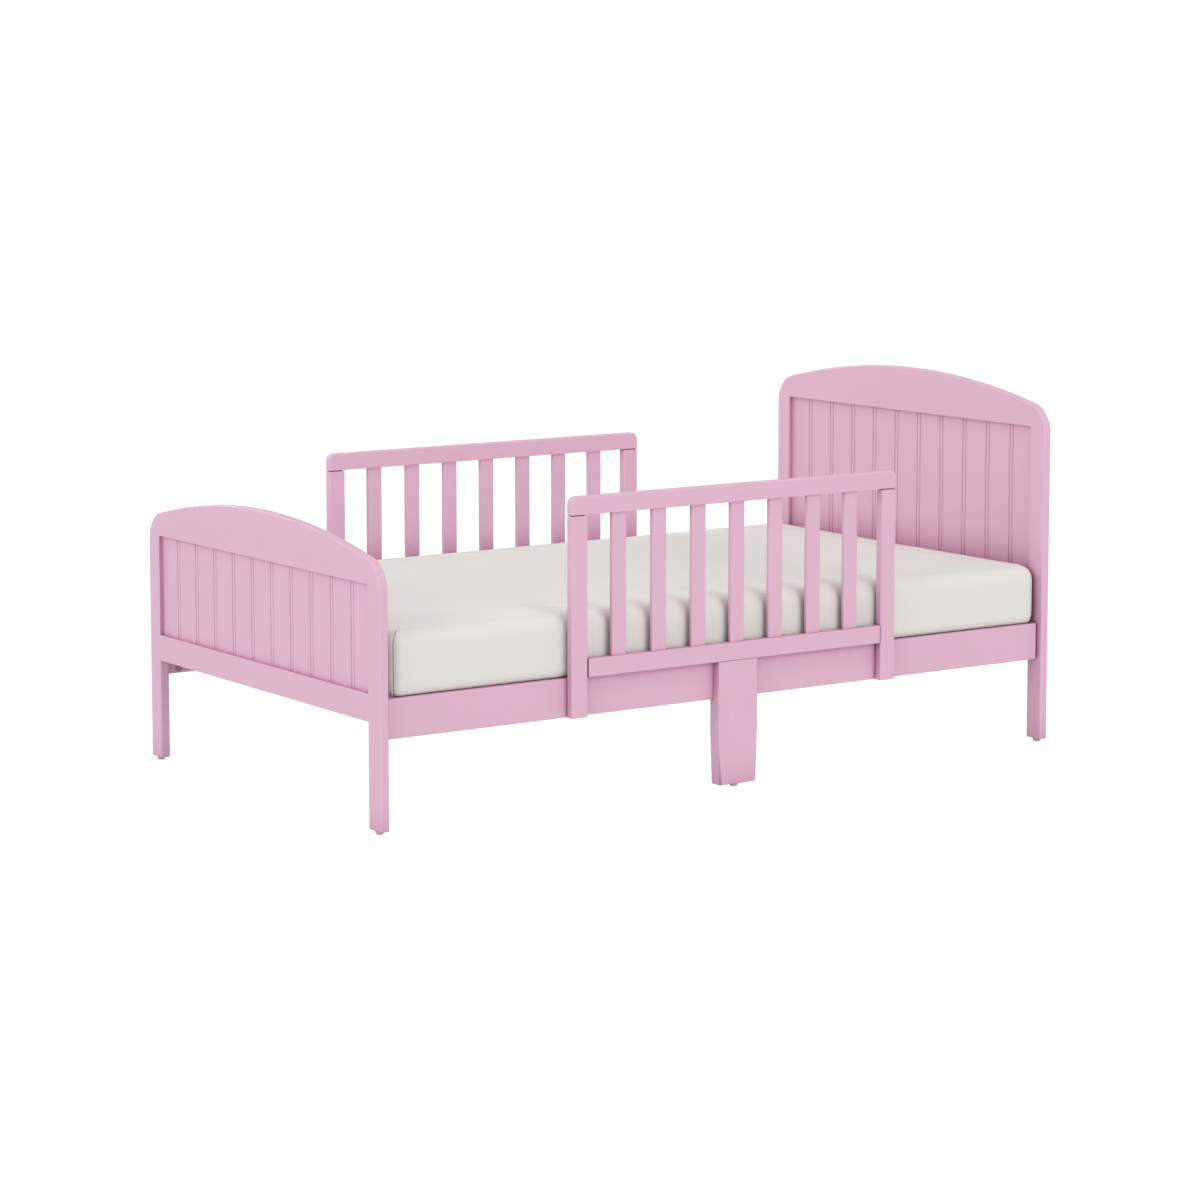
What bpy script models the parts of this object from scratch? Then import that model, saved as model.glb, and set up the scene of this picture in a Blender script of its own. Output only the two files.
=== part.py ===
"""A painted wooden toddler bed with a beadboard headboard and footboard, two guard rails and a mattress.

X runs along the bed, with the headboard at +X. Y runs across it. Z is up from the floor, and the origin is
on the floor under the middle of the bed. "Near" is the -Y side, and "far" is the +Y side. Metres.
"""

import math

import bmesh
import bpy

# Overall sizes
BED_LENGTH = 1.360
END_WIDTH = 0.759
GAP = 0.0003  # left between pieces that touch

# End frames: the headboard and the footboard
BOARD_THICK = 0.016
POST_WIDTH = 0.0355
ARCH_RADIUS = 1.500
SHOULDER_RADIUS = 0.050
ARCH_RISE = 0.0795  # from the panel's top edge to the crown of the arch
FOOT_HEIGHT = 0.4675
HEAD_HEIGHT = 0.6335
BOTTOM_RAIL_Z = (0.174, 0.218)
TENON_THICK = 0.007
TENON_LENGTH = 0.012
TENON_HEIGHT = 0.030
POST_TENON_WIDTH = 0.020

# Beadboard panels, held in grooves all round
PANEL_THICK = 0.0055
PANEL_RECESS = 0.0072  # behind the foot-side face of each end frame
PANEL_IN_GROOVE = 0.0055
GROOVE_DEPTH = 0.006
GROOVE_CLEARANCE = 0.0003
BEAD_COUNT = 10
BEAD_PITCH = 0.0636
BEAD_HALF_WIDTH = 0.0042
BEAD_GROOVE_HALF_WIDTH = 0.0012
BEAD_GROOVE_DEPTH = 0.0016

# Side rails, with the ledgers that carry the bed slats
RAIL_THICK = 0.018
RAIL_SETBACK = 0.0094  # from the side of the end frames
RAIL_Z = (0.148, 0.2114)
LEDGER_THICK = 0.018
LEDGER_HEIGHT = 0.020
LEDGER_LENGTH = 1.290

# Cam locks that draw each rail to its post
CAM_RADIUS = 0.0075
CAM_DEPTH = 0.0125
CAM_HEIGHT_Z = 0.1585
CAM_FROM_POST = 0.0226
CAM_CLEARANCE = 0.0002
CAM_SLOT = (0.009, 0.0022, 0.0025)  # length, width and depth of the screwdriver slot

# Bed slats and the beam under their middle
BED_SLAT_COUNT = 9
BED_SLAT_PITCH = 0.1475
BED_SLAT_WIDTH = 0.060
BED_SLAT_THICK = 0.012
BED_SLAT_END_GAP = 0.002
BEAM_THICK = 0.018
BEAM_BOTTOM_Z = 0.152

# Middle legs
LEG_WIDTH = 0.0790
LEG_THICK = 0.0245
LEG_TAPER = 0.0035
LEG_TAPER_Z = 0.090

# Glides under the legs
GLIDE_HEIGHT = 0.006
GLIDE_RADIUS = 0.007
GLIDE_SIDES = 16

# Guard rails
GUARD_LENGTH = 0.659
GUARD_FRONT = 0.0063  # how far the guard stands proud of the end frames
GUARD_POST_WIDTH = 0.031
GUARD_TOP_RAIL_Z = (0.4732, 0.5026)
GUARD_TOP_RADIUS = 0.012
GUARD_BOTTOM_RAIL_Z = (0.2118, 0.2418)
GUARD_REVEAL = 0.0016  # dark joint between a guard post and the rails that meet it
GUARD_SLAT_COUNT = 7
GUARD_SLAT_PITCH = 0.0785
GUARD_SLAT_WIDTH = 0.0285
GUARD_SLAT_THICK = 0.008
GUARD_SLAT_TENON = 0.006
GUARD_TENON_THICK = 0.007
GUARD_TENON_LENGTH = 0.010

# Mattress
MATTRESS_SIZE = (1.3140, 0.7344, 0.1070)
MATTRESS_SHIFT = 0.0056  # it is pushed up against the headboard
MATTRESS_CHAMFER = 0.012

HALF_LENGTH = BED_LENGTH / 2
HALF_WIDTH = END_WIDTH / 2
RAIL_OUTER_Y = HALF_WIDTH - RAIL_SETBACK
RAIL_INNER_Y = RAIL_OUTER_Y - RAIL_THICK
GUARD_OUTER_Y = HALF_WIDTH + GUARD_FRONT
GUARD_INNER_Y = RAIL_OUTER_Y + GAP
GUARD_THICK = GUARD_OUTER_Y - GUARD_INNER_Y
GUARD_MIDDLE_Y = (GUARD_OUTER_Y + GUARD_INNER_Y) / 2
SLAT_TOP_Z = RAIL_Z[1]
LEDGER_TOP_Z = SLAT_TOP_Z - BED_SLAT_THICK - GAP

ENDS = {"foot": -1, "head": 1}
SIDES = {"near": -1, "far": 1}


def clear_scene():
    for obj in list(bpy.data.objects):
        bpy.data.objects.remove(obj, do_unlink=True)


def make_material(name, colour, roughness, metallic=0.0):
    material = bpy.data.materials.new(name)
    material.use_nodes = True
    material.diffuse_color = (*colour, 1.0)
    shader = material.node_tree.nodes["Principled BSDF"]
    shader.inputs["Base Color"].default_value = (*colour, 1.0)
    shader.inputs["Roughness"].default_value = roughness
    shader.inputs["Metallic"].default_value = metallic
    return material


def make_empty(name, parent=None):
    empty = bpy.data.objects.new(name, None)
    empty.parent = parent
    bpy.context.scene.collection.objects.link(empty)
    return empty


def add_box(bm, low, high):
    """A closed box between two corners."""
    made = bmesh.ops.create_cube(bm, size=1.0)
    for vert in made["verts"]:
        for axis in range(3):
            vert.co[axis] = low[axis] if vert.co[axis] < 0 else high[axis]


def add_object(name, bm, centre, material=None, parent=None):
    """Puts a mesh drawn in world places on an object whose origin is at its centre."""
    for vert in bm.verts:
        for axis in range(3):
            vert.co[axis] -= centre[axis]
    bmesh.ops.recalc_face_normals(bm, faces=bm.faces)
    mesh = bpy.data.meshes.new(name)
    bm.to_mesh(mesh)
    bm.free()
    obj = bpy.data.objects.new(name, mesh)
    obj.location = centre
    obj.parent = parent
    if material:
        mesh.materials.append(material)
    bpy.context.scene.collection.objects.link(obj)
    return obj


def midpoint(low, high):
    return tuple((a + b) / 2 for a, b in zip(low, high))


def board(name, low, high, material, parent):
    bm = bmesh.new()
    add_box(bm, low, high)
    return add_object(name, bm, midpoint(low, high), material, parent)


def combine(obj, boxes, operation):
    """Joins boxes to an object, or cuts them out of it."""
    bm = bmesh.new()
    for low, high in boxes:
        add_box(bm, low, high)
    tool = add_object(f"{obj.name}.{operation.lower()}", bm, (0.0, 0.0, 0.0))
    use_tool(obj, tool, operation)


def use_tool(obj, tool, operation):
    tool.hide_render = True
    tool.display_type = "WIRE"
    boolean = obj.modifiers.new(operation.title(), "BOOLEAN")
    boolean.operation = operation
    boolean.solver = "EXACT"
    boolean.object = tool


def extrude_outline(points, axis, start, end):
    """A prism over an outline of 2-D points, drawn across the other two axes in order."""
    others = [i for i in range(3) if i != axis]
    bm = bmesh.new()
    verts = []
    for point in points:
        place = [0.0, 0.0, 0.0]
        place[axis] = start
        place[others[0]], place[others[1]] = point
        verts.append(bm.verts.new(place))
    face = bm.faces.new(verts)
    grown = bmesh.ops.extrude_face_region(bm, geom=[face])
    for item in grown["geom"]:
        if isinstance(item, bmesh.types.BMVert):
            item.co[axis] = end
    return bm


def arc(centre, radius, first, last, steps):
    """Points on an arc, with angles in radians from the first axis."""
    angles = [first + (last - first) * i / steps for i in range(steps + 1)]
    return [(centre[0] + radius * math.cos(a), centre[1] + radius * math.sin(a)) for a in angles]


def side_box(side, x, y, z):
    """A box given by its x range, its distances out from the bed's middle, and its z range."""
    ys = sorted((side * y[0], side * y[1]))
    return (x[0], ys[0], z[0]), (x[1], ys[1], z[1])


def end_faces(end):
    """The x range of an end frame, low to high."""
    return tuple(sorted((end * HALF_LENGTH, end * (HALF_LENGTH - BOARD_THICK))))


def centred_range(middle, width):
    return middle - width / 2, middle + width / 2


def shoulder_z(height):
    """Where the straight side of an end frame turns into its rounded shoulder."""
    reach = math.sqrt((ARCH_RADIUS - SHOULDER_RADIUS) ** 2 - (HALF_WIDTH - SHOULDER_RADIUS) ** 2)
    return height - ARCH_RADIUS + reach


def arch_outline(height):
    """The arched rail across (y, z): ears over the posts, rounded shoulders and one long arc."""
    shoulder = shoulder_z(height)
    shoulder_y = HALF_WIDTH - SHOULDER_RADIUS
    arch_z = height - ARCH_RADIUS
    meet = math.atan2(shoulder - arch_z, shoulder_y)
    panel_y = HALF_WIDTH - POST_WIDTH
    panel_z = height - ARCH_RISE
    outline = arc((shoulder_y, shoulder), SHOULDER_RADIUS, 0.0, meet, 8)
    outline += arc((0.0, arch_z), ARCH_RADIUS, meet, math.pi - meet, 28)[1:-1]
    outline += arc((-shoulder_y, shoulder), SHOULDER_RADIUS, math.pi - meet, math.pi, 8)
    outline += [(-panel_y, shoulder), (-panel_y, panel_z), (panel_y, panel_z), (panel_y, shoulder)]
    return outline


def panel_x(end):
    """The x range of a panel, low to high."""
    low = end_faces(end)[0] + PANEL_RECESS
    return low, low + PANEL_THICK


def groove_box(end, half_y, z):
    """The space that a panel's edges and their grooves fill."""
    x = panel_x(end)
    low = (x[0] - GROOVE_CLEARANCE, -half_y, z[0])
    high = (x[1] + GROOVE_CLEARANCE, half_y, z[1])
    return low, high


def make_end_frame(end_name, height, wood, parent):
    end = ENDS[end_name]
    x = end_faces(end)
    tenon_x = centred_range(sum(x) / 2, TENON_THICK)
    mortise_x = centred_range(sum(x) / 2, TENON_THICK + 2 * GAP)
    inner_y = HALF_WIDTH - POST_WIDTH
    panel_z = (BOTTOM_RAIL_Z[1], height - ARCH_RISE)
    groove = groove_box(end, inner_y + GROOVE_DEPTH, (panel_z[0] - GROOVE_DEPTH, panel_z[1] + GROOVE_DEPTH))
    tenon_z = centred_range(sum(BOTTOM_RAIL_Z) / 2 - 0.002, TENON_HEIGHT)
    post_top = shoulder_z(height) - GAP
    post_middle = HALF_WIDTH - POST_WIDTH / 2
    for side_name, side in SIDES.items():
        low, high = side_box(side, x, (inner_y, HALF_WIDTH), (GLIDE_HEIGHT + GAP, post_top))
        post = board(f"{end_name}_post_{side_name}", low, high, wood, parent)
        post_tenon_y = centred_range(post_middle, POST_TENON_WIDTH)
        top_tenon = side_box(side, tenon_x, post_tenon_y, (post_top - 0.002, post_top + TENON_LENGTH))
        combine(post, [top_tenon], "UNION")
        mortise_y = (inner_y - 0.001, inner_y + TENON_LENGTH + GAP)
        mortise = side_box(side, mortise_x, mortise_y, (tenon_z[0] - GAP, tenon_z[1] + GAP))
        combine(post, [mortise, groove], "DIFFERENCE")
    make_arch_rail(end_name, height, x, groove, post_middle, wood, parent)
    low = (x[0], -inner_y + GAP, BOTTOM_RAIL_Z[0])
    high = (x[1], inner_y - GAP, BOTTOM_RAIL_Z[1])
    rail = board(f"{end_name}_bottom_rail", low, high, wood, parent)
    tenon_y = inner_y + TENON_LENGTH
    tenon = ((tenon_x[0], -tenon_y, tenon_z[0]), (tenon_x[1], tenon_y, tenon_z[1]))
    combine(rail, [tenon], "UNION")
    combine(rail, [groove], "DIFFERENCE")
    make_panel(end_name, panel_z, wood, parent)


def make_arch_rail(end_name, height, x, groove, post_middle, wood, parent):
    bm = extrude_outline(arch_outline(height), 0, x[0], x[1])
    rail = add_object(f"{end_name}_arch_rail", bm, (sum(x) / 2, 0.0, height - ARCH_RISE), wood, parent)
    shoulder = shoulder_z(height)
    mortise_x = centred_range(sum(x) / 2, TENON_THICK + 2 * GAP)
    mortise_y = centred_range(post_middle, POST_TENON_WIDTH + 2 * GAP)
    mortise_z = (shoulder - 0.001, shoulder + TENON_LENGTH + GAP)
    mortises = [side_box(side, mortise_x, mortise_y, mortise_z) for side in SIDES.values()]
    combine(rail, mortises + [groove], "DIFFERENCE")


def bead_profile(half_y, face_x, back_x):
    """A panel's section (x, y): a V groove on each side of every bead, cut in both faces."""
    middles = [BEAD_PITCH * (i - (BEAD_COUNT - 1) / 2) for i in range(BEAD_COUNT)]
    grooves = [y + side * BEAD_HALF_WIDTH for y in middles for side in (-1, 1)]
    inward = 1 if back_x > face_x else -1
    front = [(face_x, -half_y)]
    back = [(back_x, -half_y)]
    for y in grooves:
        for face, points, step in ((face_x, front, inward), (back_x, back, -inward)):
            points.append((face, y - BEAD_GROOVE_HALF_WIDTH))
            points.append((face + step * BEAD_GROOVE_DEPTH, y))
            points.append((face, y + BEAD_GROOVE_HALF_WIDTH))
    front.append((face_x, half_y))
    back.append((back_x, half_y))
    return front + back[::-1]


def make_panel(end_name, panel_z, wood, parent):
    x = panel_x(ENDS[end_name])
    half_y = HALF_WIDTH - POST_WIDTH + PANEL_IN_GROOVE
    z = (panel_z[0] - PANEL_IN_GROOVE, panel_z[1] + PANEL_IN_GROOVE)
    bm = extrude_outline(bead_profile(half_y, x[0], x[1]), 2, z[0], z[1])
    add_object(f"{end_name}_panel", bm, (sum(x) / 2, 0.0, sum(z) / 2), wood, parent)


def add_cylinder(bm, radius, start, end, sides):
    """A round bar between two points, both given as (x, y, z), along Y or Z."""
    along = [abs(b - a) for a, b in zip(start, end)].index(max(abs(b - a) for a, b in zip(start, end)))
    others = [i for i in range(3) if i != along]
    rings = []
    for centre in (start, end):
        ring = []
        for k in range(sides):
            angle = 2 * math.pi * (k + 0.5) / sides
            place = list(centre)
            place[others[0]] += radius * math.cos(angle)
            place[others[1]] += radius * math.sin(angle)
            ring.append(bm.verts.new(place))
        rings.append(ring)
    for ring in rings:
        bm.faces.new(ring)
    for k in range(sides):
        after = (k + 1) % sides
        bm.faces.new((rings[0][k], rings[0][after], rings[1][after], rings[1][k]))


def round_bar(name, radius, start, end, sides, material=None, parent=None):
    bm = bmesh.new()
    add_cylinder(bm, radius, start, end, sides)
    bar = add_object(name, bm, midpoint(start, end), material, parent)
    bar.data.shade_smooth()
    bar.data.set_sharp_from_angle(angle=math.radians(30))
    return bar


def make_side_rail(side_name, wood, steel, parent):
    side = SIDES[side_name]
    half = HALF_LENGTH - BOARD_THICK - GAP
    low, high = side_box(side, (-half, half), (RAIL_INNER_Y, RAIL_OUTER_Y), RAIL_Z)
    rail = board(f"side_rail_{side_name}", low, high, wood, parent)
    inner = side * RAIL_INNER_Y
    for end_name, end in ENDS.items():
        x = end * (HALF_LENGTH - BOARD_THICK - CAM_FROM_POST)
        mouth = (x, inner - side * 0.001, CAM_HEIGHT_Z)
        floor = (x, inner + side * (CAM_DEPTH + CAM_CLEARANCE), CAM_HEIGHT_Z)
        bore = round_bar(f"{rail.name}.bore_{end_name}", CAM_RADIUS + CAM_CLEARANCE, mouth, floor, GLIDE_SIDES)
        use_tool(rail, bore, "DIFFERENCE")
        face = (x, inner + side * CAM_CLEARANCE, CAM_HEIGHT_Z)
        back = (x, inner + side * CAM_DEPTH, CAM_HEIGHT_Z)
        cam = round_bar(f"cam_lock_{end_name}_{side_name}", CAM_RADIUS, face, back, GLIDE_SIDES, steel, parent)
        slot_x = centred_range(x, CAM_SLOT[0])
        slot_y = (RAIL_INNER_Y - 0.001, RAIL_INNER_Y + CAM_SLOT[2])
        slot_z = centred_range(CAM_HEIGHT_Z, CAM_SLOT[1])
        combine(cam, [side_box(side, slot_x, slot_y, slot_z)], "DIFFERENCE")
    ledger_y = (RAIL_INNER_Y - GAP - LEDGER_THICK, RAIL_INNER_Y - GAP)
    ledger_x = centred_range(0.0, LEDGER_LENGTH)
    ledger = side_box(side, ledger_x, ledger_y, (LEDGER_TOP_Z - LEDGER_HEIGHT, LEDGER_TOP_Z))
    board(f"slat_ledger_{side_name}", *ledger, wood, parent)


def make_middle_leg(side_name, wood, parent):
    """A wide leg on the outside of the side rail, notched so that the rail sits on its shoulder."""
    side = SIDES[side_name]
    half = LEG_WIDTH / 2
    foot = half - LEG_TAPER
    bottom = GLIDE_HEIGHT + GAP
    top = GUARD_BOTTOM_RAIL_Z[0] - GAP
    outline = [(-foot, bottom), (foot, bottom), (half, LEG_TAPER_Z)]
    outline += [(half, top), (-half, top), (-half, LEG_TAPER_Z)]
    outer = side * GUARD_OUTER_Y
    inner = side * (GUARD_OUTER_Y - LEG_THICK)
    bm = extrude_outline(outline, 1, outer, inner)
    leg = add_object(f"middle_leg_{side_name}", bm, (0.0, (outer + inner) / 2, bottom), wood, parent)
    notch_y = (GUARD_OUTER_Y - LEG_THICK - 0.001, GUARD_INNER_Y)
    notch = side_box(side, centred_range(0.0, LEG_WIDTH + 0.002), notch_y, (RAIL_Z[0] - GAP, top + 0.001))
    combine(leg, [notch], "DIFFERENCE")


def make_glides(plastic, parent):
    end_x = HALF_LENGTH - BOARD_THICK / 2
    post_y = HALF_WIDTH - POST_WIDTH / 2
    leg_y = GUARD_OUTER_Y - LEG_THICK / 2
    places = {"foot": (-end_x, post_y), "middle": (0.0, leg_y), "head": (end_x, post_y)}
    for place_name, (x, y) in places.items():
        for side_name, side in SIDES.items():
            start = (x, side * y, 0.0)
            end = (x, side * y, GLIDE_HEIGHT)
            round_bar(f"glide_{place_name}_{side_name}", GLIDE_RADIUS, start, end, GLIDE_SIDES, plastic, parent)


def make_bed_slats(wood, parent):
    half_y = RAIL_INNER_Y - BED_SLAT_END_GAP
    for i in range(BED_SLAT_COUNT):
        x = centred_range(BED_SLAT_PITCH * (i - (BED_SLAT_COUNT - 1) / 2), BED_SLAT_WIDTH)
        low = (x[0], -half_y, SLAT_TOP_Z - BED_SLAT_THICK)
        high = (x[1], half_y, SLAT_TOP_Z)
        board(f"bed_slat_{i + 1}", low, high, wood, parent)


def make_centre_beam(wood, parent):
    """The beam on edge under the middle slat. Its ends pass under the ledgers to meet the side rails."""
    half = RAIL_INNER_Y - GAP
    shoulder = half - LEDGER_THICK - GAP
    under = LEDGER_TOP_Z - LEDGER_HEIGHT - GAP
    outline = [(-half, BEAM_BOTTOM_Z), (half, BEAM_BOTTOM_Z), (half, under), (shoulder, under)]
    outline += [(shoulder, LEDGER_TOP_Z), (-shoulder, LEDGER_TOP_Z), (-shoulder, under), (-half, under)]
    bm = extrude_outline(outline, 0, -BEAM_THICK / 2, BEAM_THICK / 2)
    add_object("centre_beam", bm, (0.0, 0.0, BEAM_BOTTOM_Z), wood, parent)


def guard_slat_middles():
    return [GUARD_SLAT_PITCH * (i - (GUARD_SLAT_COUNT - 1) / 2) for i in range(GUARD_SLAT_COUNT)]


def guard_slat_mortises(side, z):
    y = centred_range(GUARD_MIDDLE_Y, GUARD_SLAT_THICK + 2 * GAP)
    width = GUARD_SLAT_WIDTH + 2 * GAP
    return [side_box(side, centred_range(x, width), y, z) for x in guard_slat_middles()]


def make_guard_top_rail(name, side, wood, parent):
    """The handrail over both posts, with its two top corners rounded."""
    half = GUARD_LENGTH / 2
    low_z, high_z = GUARD_TOP_RAIL_Z
    corner = (half - GUARD_TOP_RADIUS, high_z - GUARD_TOP_RADIUS)
    outline = arc(corner, GUARD_TOP_RADIUS, 0.0, math.pi / 2, 8)
    outline += arc((-corner[0], corner[1]), GUARD_TOP_RADIUS, math.pi / 2, math.pi, 8)
    outline += [(-half, low_z), (half, low_z)]
    bm = extrude_outline(outline, 1, side * GUARD_INNER_Y, side * GUARD_OUTER_Y)
    rail = add_object(f"{name}_top_rail", bm, (0.0, side * GUARD_MIDDLE_Y, sum(GUARD_TOP_RAIL_Z) / 2), wood, parent)
    tenon_y = centred_range(GUARD_MIDDLE_Y, GUARD_TENON_THICK + 2 * GAP)
    z = (low_z - 0.001, low_z + GUARD_TENON_LENGTH + GAP)
    post_middle = half - GUARD_POST_WIDTH / 2
    post_mortise_width = GUARD_POST_WIDTH * 0.6 + 2 * GAP
    mortises = guard_slat_mortises(side, (low_z - 0.001, low_z + GUARD_SLAT_TENON + GAP))
    for end in ENDS.values():
        mortises.append(side_box(side, centred_range(end * post_middle, post_mortise_width), tenon_y, z))
    combine(rail, mortises, "DIFFERENCE")


def make_guard_bottom_rail(name, side, wood, parent):
    half = GUARD_LENGTH / 2 - GUARD_POST_WIDTH - GUARD_REVEAL
    low, high = side_box(side, (-half, half), (GUARD_INNER_Y, GUARD_OUTER_Y), GUARD_BOTTOM_RAIL_Z)
    rail = board(f"{name}_bottom_rail", low, high, wood, parent)
    reach = half + GUARD_REVEAL + GUARD_TENON_LENGTH
    tenon_y = centred_range(GUARD_MIDDLE_Y, GUARD_TENON_THICK)
    tenon_z = centred_range(sum(GUARD_BOTTOM_RAIL_Z) / 2, GUARD_POST_WIDTH * 0.6)
    combine(rail, [side_box(side, (-reach, reach), tenon_y, tenon_z)], "UNION")
    top = GUARD_BOTTOM_RAIL_Z[1]
    combine(rail, guard_slat_mortises(side, (top - GUARD_SLAT_TENON - GAP, top + 0.001)), "DIFFERENCE")


def make_guard_post(name, end_name, side, wood, parent):
    end = ENDS[end_name]
    outer_x = end * GUARD_LENGTH / 2
    inner_x = outer_x - end * GUARD_POST_WIDTH
    x = tuple(sorted((outer_x, inner_x)))
    top = GUARD_TOP_RAIL_Z[0] - GUARD_REVEAL
    low, high = side_box(side, x, (GUARD_INNER_Y, GUARD_OUTER_Y), (RAIL_Z[0], top))
    post = board(f"{name}_post_{end_name}", low, high, wood, parent)
    tenon_width = GUARD_POST_WIDTH * 0.6
    tenon_y = centred_range(GUARD_MIDDLE_Y, GUARD_TENON_THICK)
    tenon_top = top + GUARD_REVEAL + GUARD_TENON_LENGTH
    tenon = side_box(side, centred_range(sum(x) / 2, tenon_width), tenon_y, (top - 0.002, tenon_top))
    combine(post, [tenon], "UNION")
    mortise_x = tuple(sorted((inner_x - end * 0.001, inner_x + end * (GUARD_TENON_LENGTH + GAP))))
    mortise_y = centred_range(GUARD_MIDDLE_Y, GUARD_TENON_THICK + 2 * GAP)
    mortise_z = centred_range(sum(GUARD_BOTTOM_RAIL_Z) / 2, tenon_width + 2 * GAP)
    combine(post, [side_box(side, mortise_x, mortise_y, mortise_z)], "DIFFERENCE")


def make_guard(side_name, wood, parent):
    side = SIDES[side_name]
    name = f"guard_{side_name}"
    make_guard_top_rail(name, side, wood, parent)
    make_guard_bottom_rail(name, side, wood, parent)
    for end_name in ENDS:
        make_guard_post(name, end_name, side, wood, parent)
    slat_y = centred_range(GUARD_MIDDLE_Y, GUARD_SLAT_THICK)
    slat_z = (GUARD_BOTTOM_RAIL_Z[1] - GUARD_SLAT_TENON, GUARD_TOP_RAIL_Z[0] + GUARD_SLAT_TENON)
    for i, x in enumerate(guard_slat_middles()):
        low, high = side_box(side, centred_range(x, GUARD_SLAT_WIDTH), slat_y, slat_z)
        board(f"{name}_slat_{i + 1}", low, high, wood, parent)


def make_mattress(ticking, parent):
    length, width, height = MATTRESS_SIZE
    bottom = SLAT_TOP_Z + GAP
    x = centred_range(MATTRESS_SHIFT, length)
    low = (x[0], -width / 2, bottom)
    high = (x[1], width / 2, bottom + height)
    mattress = board("mattress", low, high, ticking, parent)
    bevel = mattress.modifiers.new("Soft edges", "BEVEL")
    bevel.width = MATTRESS_CHAMFER
    bevel.segments = 2
    bevel.limit_method = "NONE"


def main():
    clear_scene()
    pink = make_material("painted_wood", (0.72, 0.42, 0.57), 0.45)
    bare = make_material("bare_wood", (0.66, 0.50, 0.34), 0.6)
    grey = make_material("glide_plastic", (0.45, 0.42, 0.43), 0.5)
    steel = make_material("cam_steel", (0.62, 0.62, 0.64), 0.35, 1.0)
    ticking = make_material("mattress_cover", (0.78, 0.77, 0.74), 0.85)
    frame = make_empty("bed_frame")
    make_end_frame("foot", FOOT_HEIGHT, pink, frame)
    make_end_frame("head", HEAD_HEIGHT, pink, frame)
    for side_name in SIDES:
        make_side_rail(side_name, pink, steel, frame)
        make_middle_leg(side_name, pink, frame)
        make_guard(side_name, pink, frame)
    make_glides(grey, frame)
    make_bed_slats(bare, frame)
    make_centre_beam(bare, frame)
    make_mattress(ticking, make_empty("loose_mattress"))


main()
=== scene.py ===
"""A painted wooden toddler bed: its looks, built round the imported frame.

X runs along the bed with the headboard at +X, Y runs across it and Z is up from the floor, in metres. Sizes
that the frame fixes come from its boxes. The boards' free edges are sanded round here, the beadboard gets its
beads, and the mattress is filled as cloth.
"""

import math

import bmesh
import bpy
import numpy as np
from mathutils import Matrix, Vector
from mathutils.bvhtree import BVHTree


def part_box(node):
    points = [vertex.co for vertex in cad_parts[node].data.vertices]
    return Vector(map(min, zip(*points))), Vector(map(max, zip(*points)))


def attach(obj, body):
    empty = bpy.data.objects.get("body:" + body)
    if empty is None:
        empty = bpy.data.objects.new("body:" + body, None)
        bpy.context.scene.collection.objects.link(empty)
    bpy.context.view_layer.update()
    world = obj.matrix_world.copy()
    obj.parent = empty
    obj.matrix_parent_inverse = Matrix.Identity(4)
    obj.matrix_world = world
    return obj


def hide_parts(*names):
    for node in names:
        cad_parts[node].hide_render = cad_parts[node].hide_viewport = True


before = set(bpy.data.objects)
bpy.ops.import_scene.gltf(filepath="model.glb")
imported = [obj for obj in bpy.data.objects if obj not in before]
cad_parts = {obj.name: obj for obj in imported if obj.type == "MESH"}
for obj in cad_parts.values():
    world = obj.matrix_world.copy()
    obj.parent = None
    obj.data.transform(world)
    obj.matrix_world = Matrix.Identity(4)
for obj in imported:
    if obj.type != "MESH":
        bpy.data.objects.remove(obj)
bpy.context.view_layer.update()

bl_info = {
    "name": "Toddler bed",
    "version": (1, 0, 0),
    "blender": (4, 5, 0),
    "location": "3D View > Sidebar > Toddler bed",
    "description": "Makes a painted toddler bed with guard rails, beadboard ends and a mattress",
    "category": "Add Mesh",
}

HAIRLINE = 0.00005  # between boards that the paint runs across
CLEARANCE = 0.0003  # between parts that slide together
TOUCHING = 1e-6  # two measures closer than this are the same
# Painted shade: other surfaces this near to a board darken its lacquer
CORNER_REACH = 0.06  # surfaces this near to a board deepen its paint
SHARP = math.radians(25)  # edges that turn less than this are part of a curve
SEAM_WIDTH = 0.0022  # from the middle of a mattress seam to where it has faded out
SEAM_SHARE, SEAM_POINTS = 0.72, 25  # how much of the mattress's height a seam takes up, and its points
STITCH_PITCH = 1.35  # from stitch to stitch, in stitch lengths
FILLING_FRAMES = 20  # how long the mattress is blown up
FLOOR_SIZE = 60.0
LAMPS_AWAY, LAMPS_HEIGHT = 5.0, 1.8  # the ring of lights round the bed
LAMPS_TURN = 8  # degrees from the head end to the first of them
LAMP_WIDTH, TOP_LAMP_HEIGHT = 3.4, 3.6
CAMERA_PLACE = (-3.4221, -4.9566, 1.1749)
CAMERA_DOWN, CAMERA_TURN = 0.1163, -0.6029  # radians below level, and from straight across the bed
PANEL_TONGUE = 0.0055  # how much of a panel's top edge is hidden in the arched rail's groove
ENDS = {"foot": -1, "head": 1}
SIDES = {"near": -1, "far": 1}
ALONG, ACROSS, UPRIGHT = 0, 1, 2


def linear(code):
    """An sRGB hex colour as linear numbers."""
    parts = [int(code[i : i + 2], 16) / 255 for i in (1, 3, 5)]
    return tuple(c / 12.92 if c <= 0.04045 else ((c + 0.055) / 1.055) ** 2.4 for c in parts)


def number(name, description, default, **kind):
    return bpy.props.FloatProperty(name=name, description=description, default=default, min=0.0, **kind)


def length(name, description, default):
    return number(name, description, default, unit="LENGTH")


def factor(name, description, default):
    return number(name, description, default, max=1.0, subtype="FACTOR")


def colour(name, description, code):
    values = {"default": linear(code), "size": 3, "min": 0.0, "max": 1.0, "subtype": "COLOR"}
    return bpy.props.FloatVectorProperty(name=name, description=description, **values)


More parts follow.
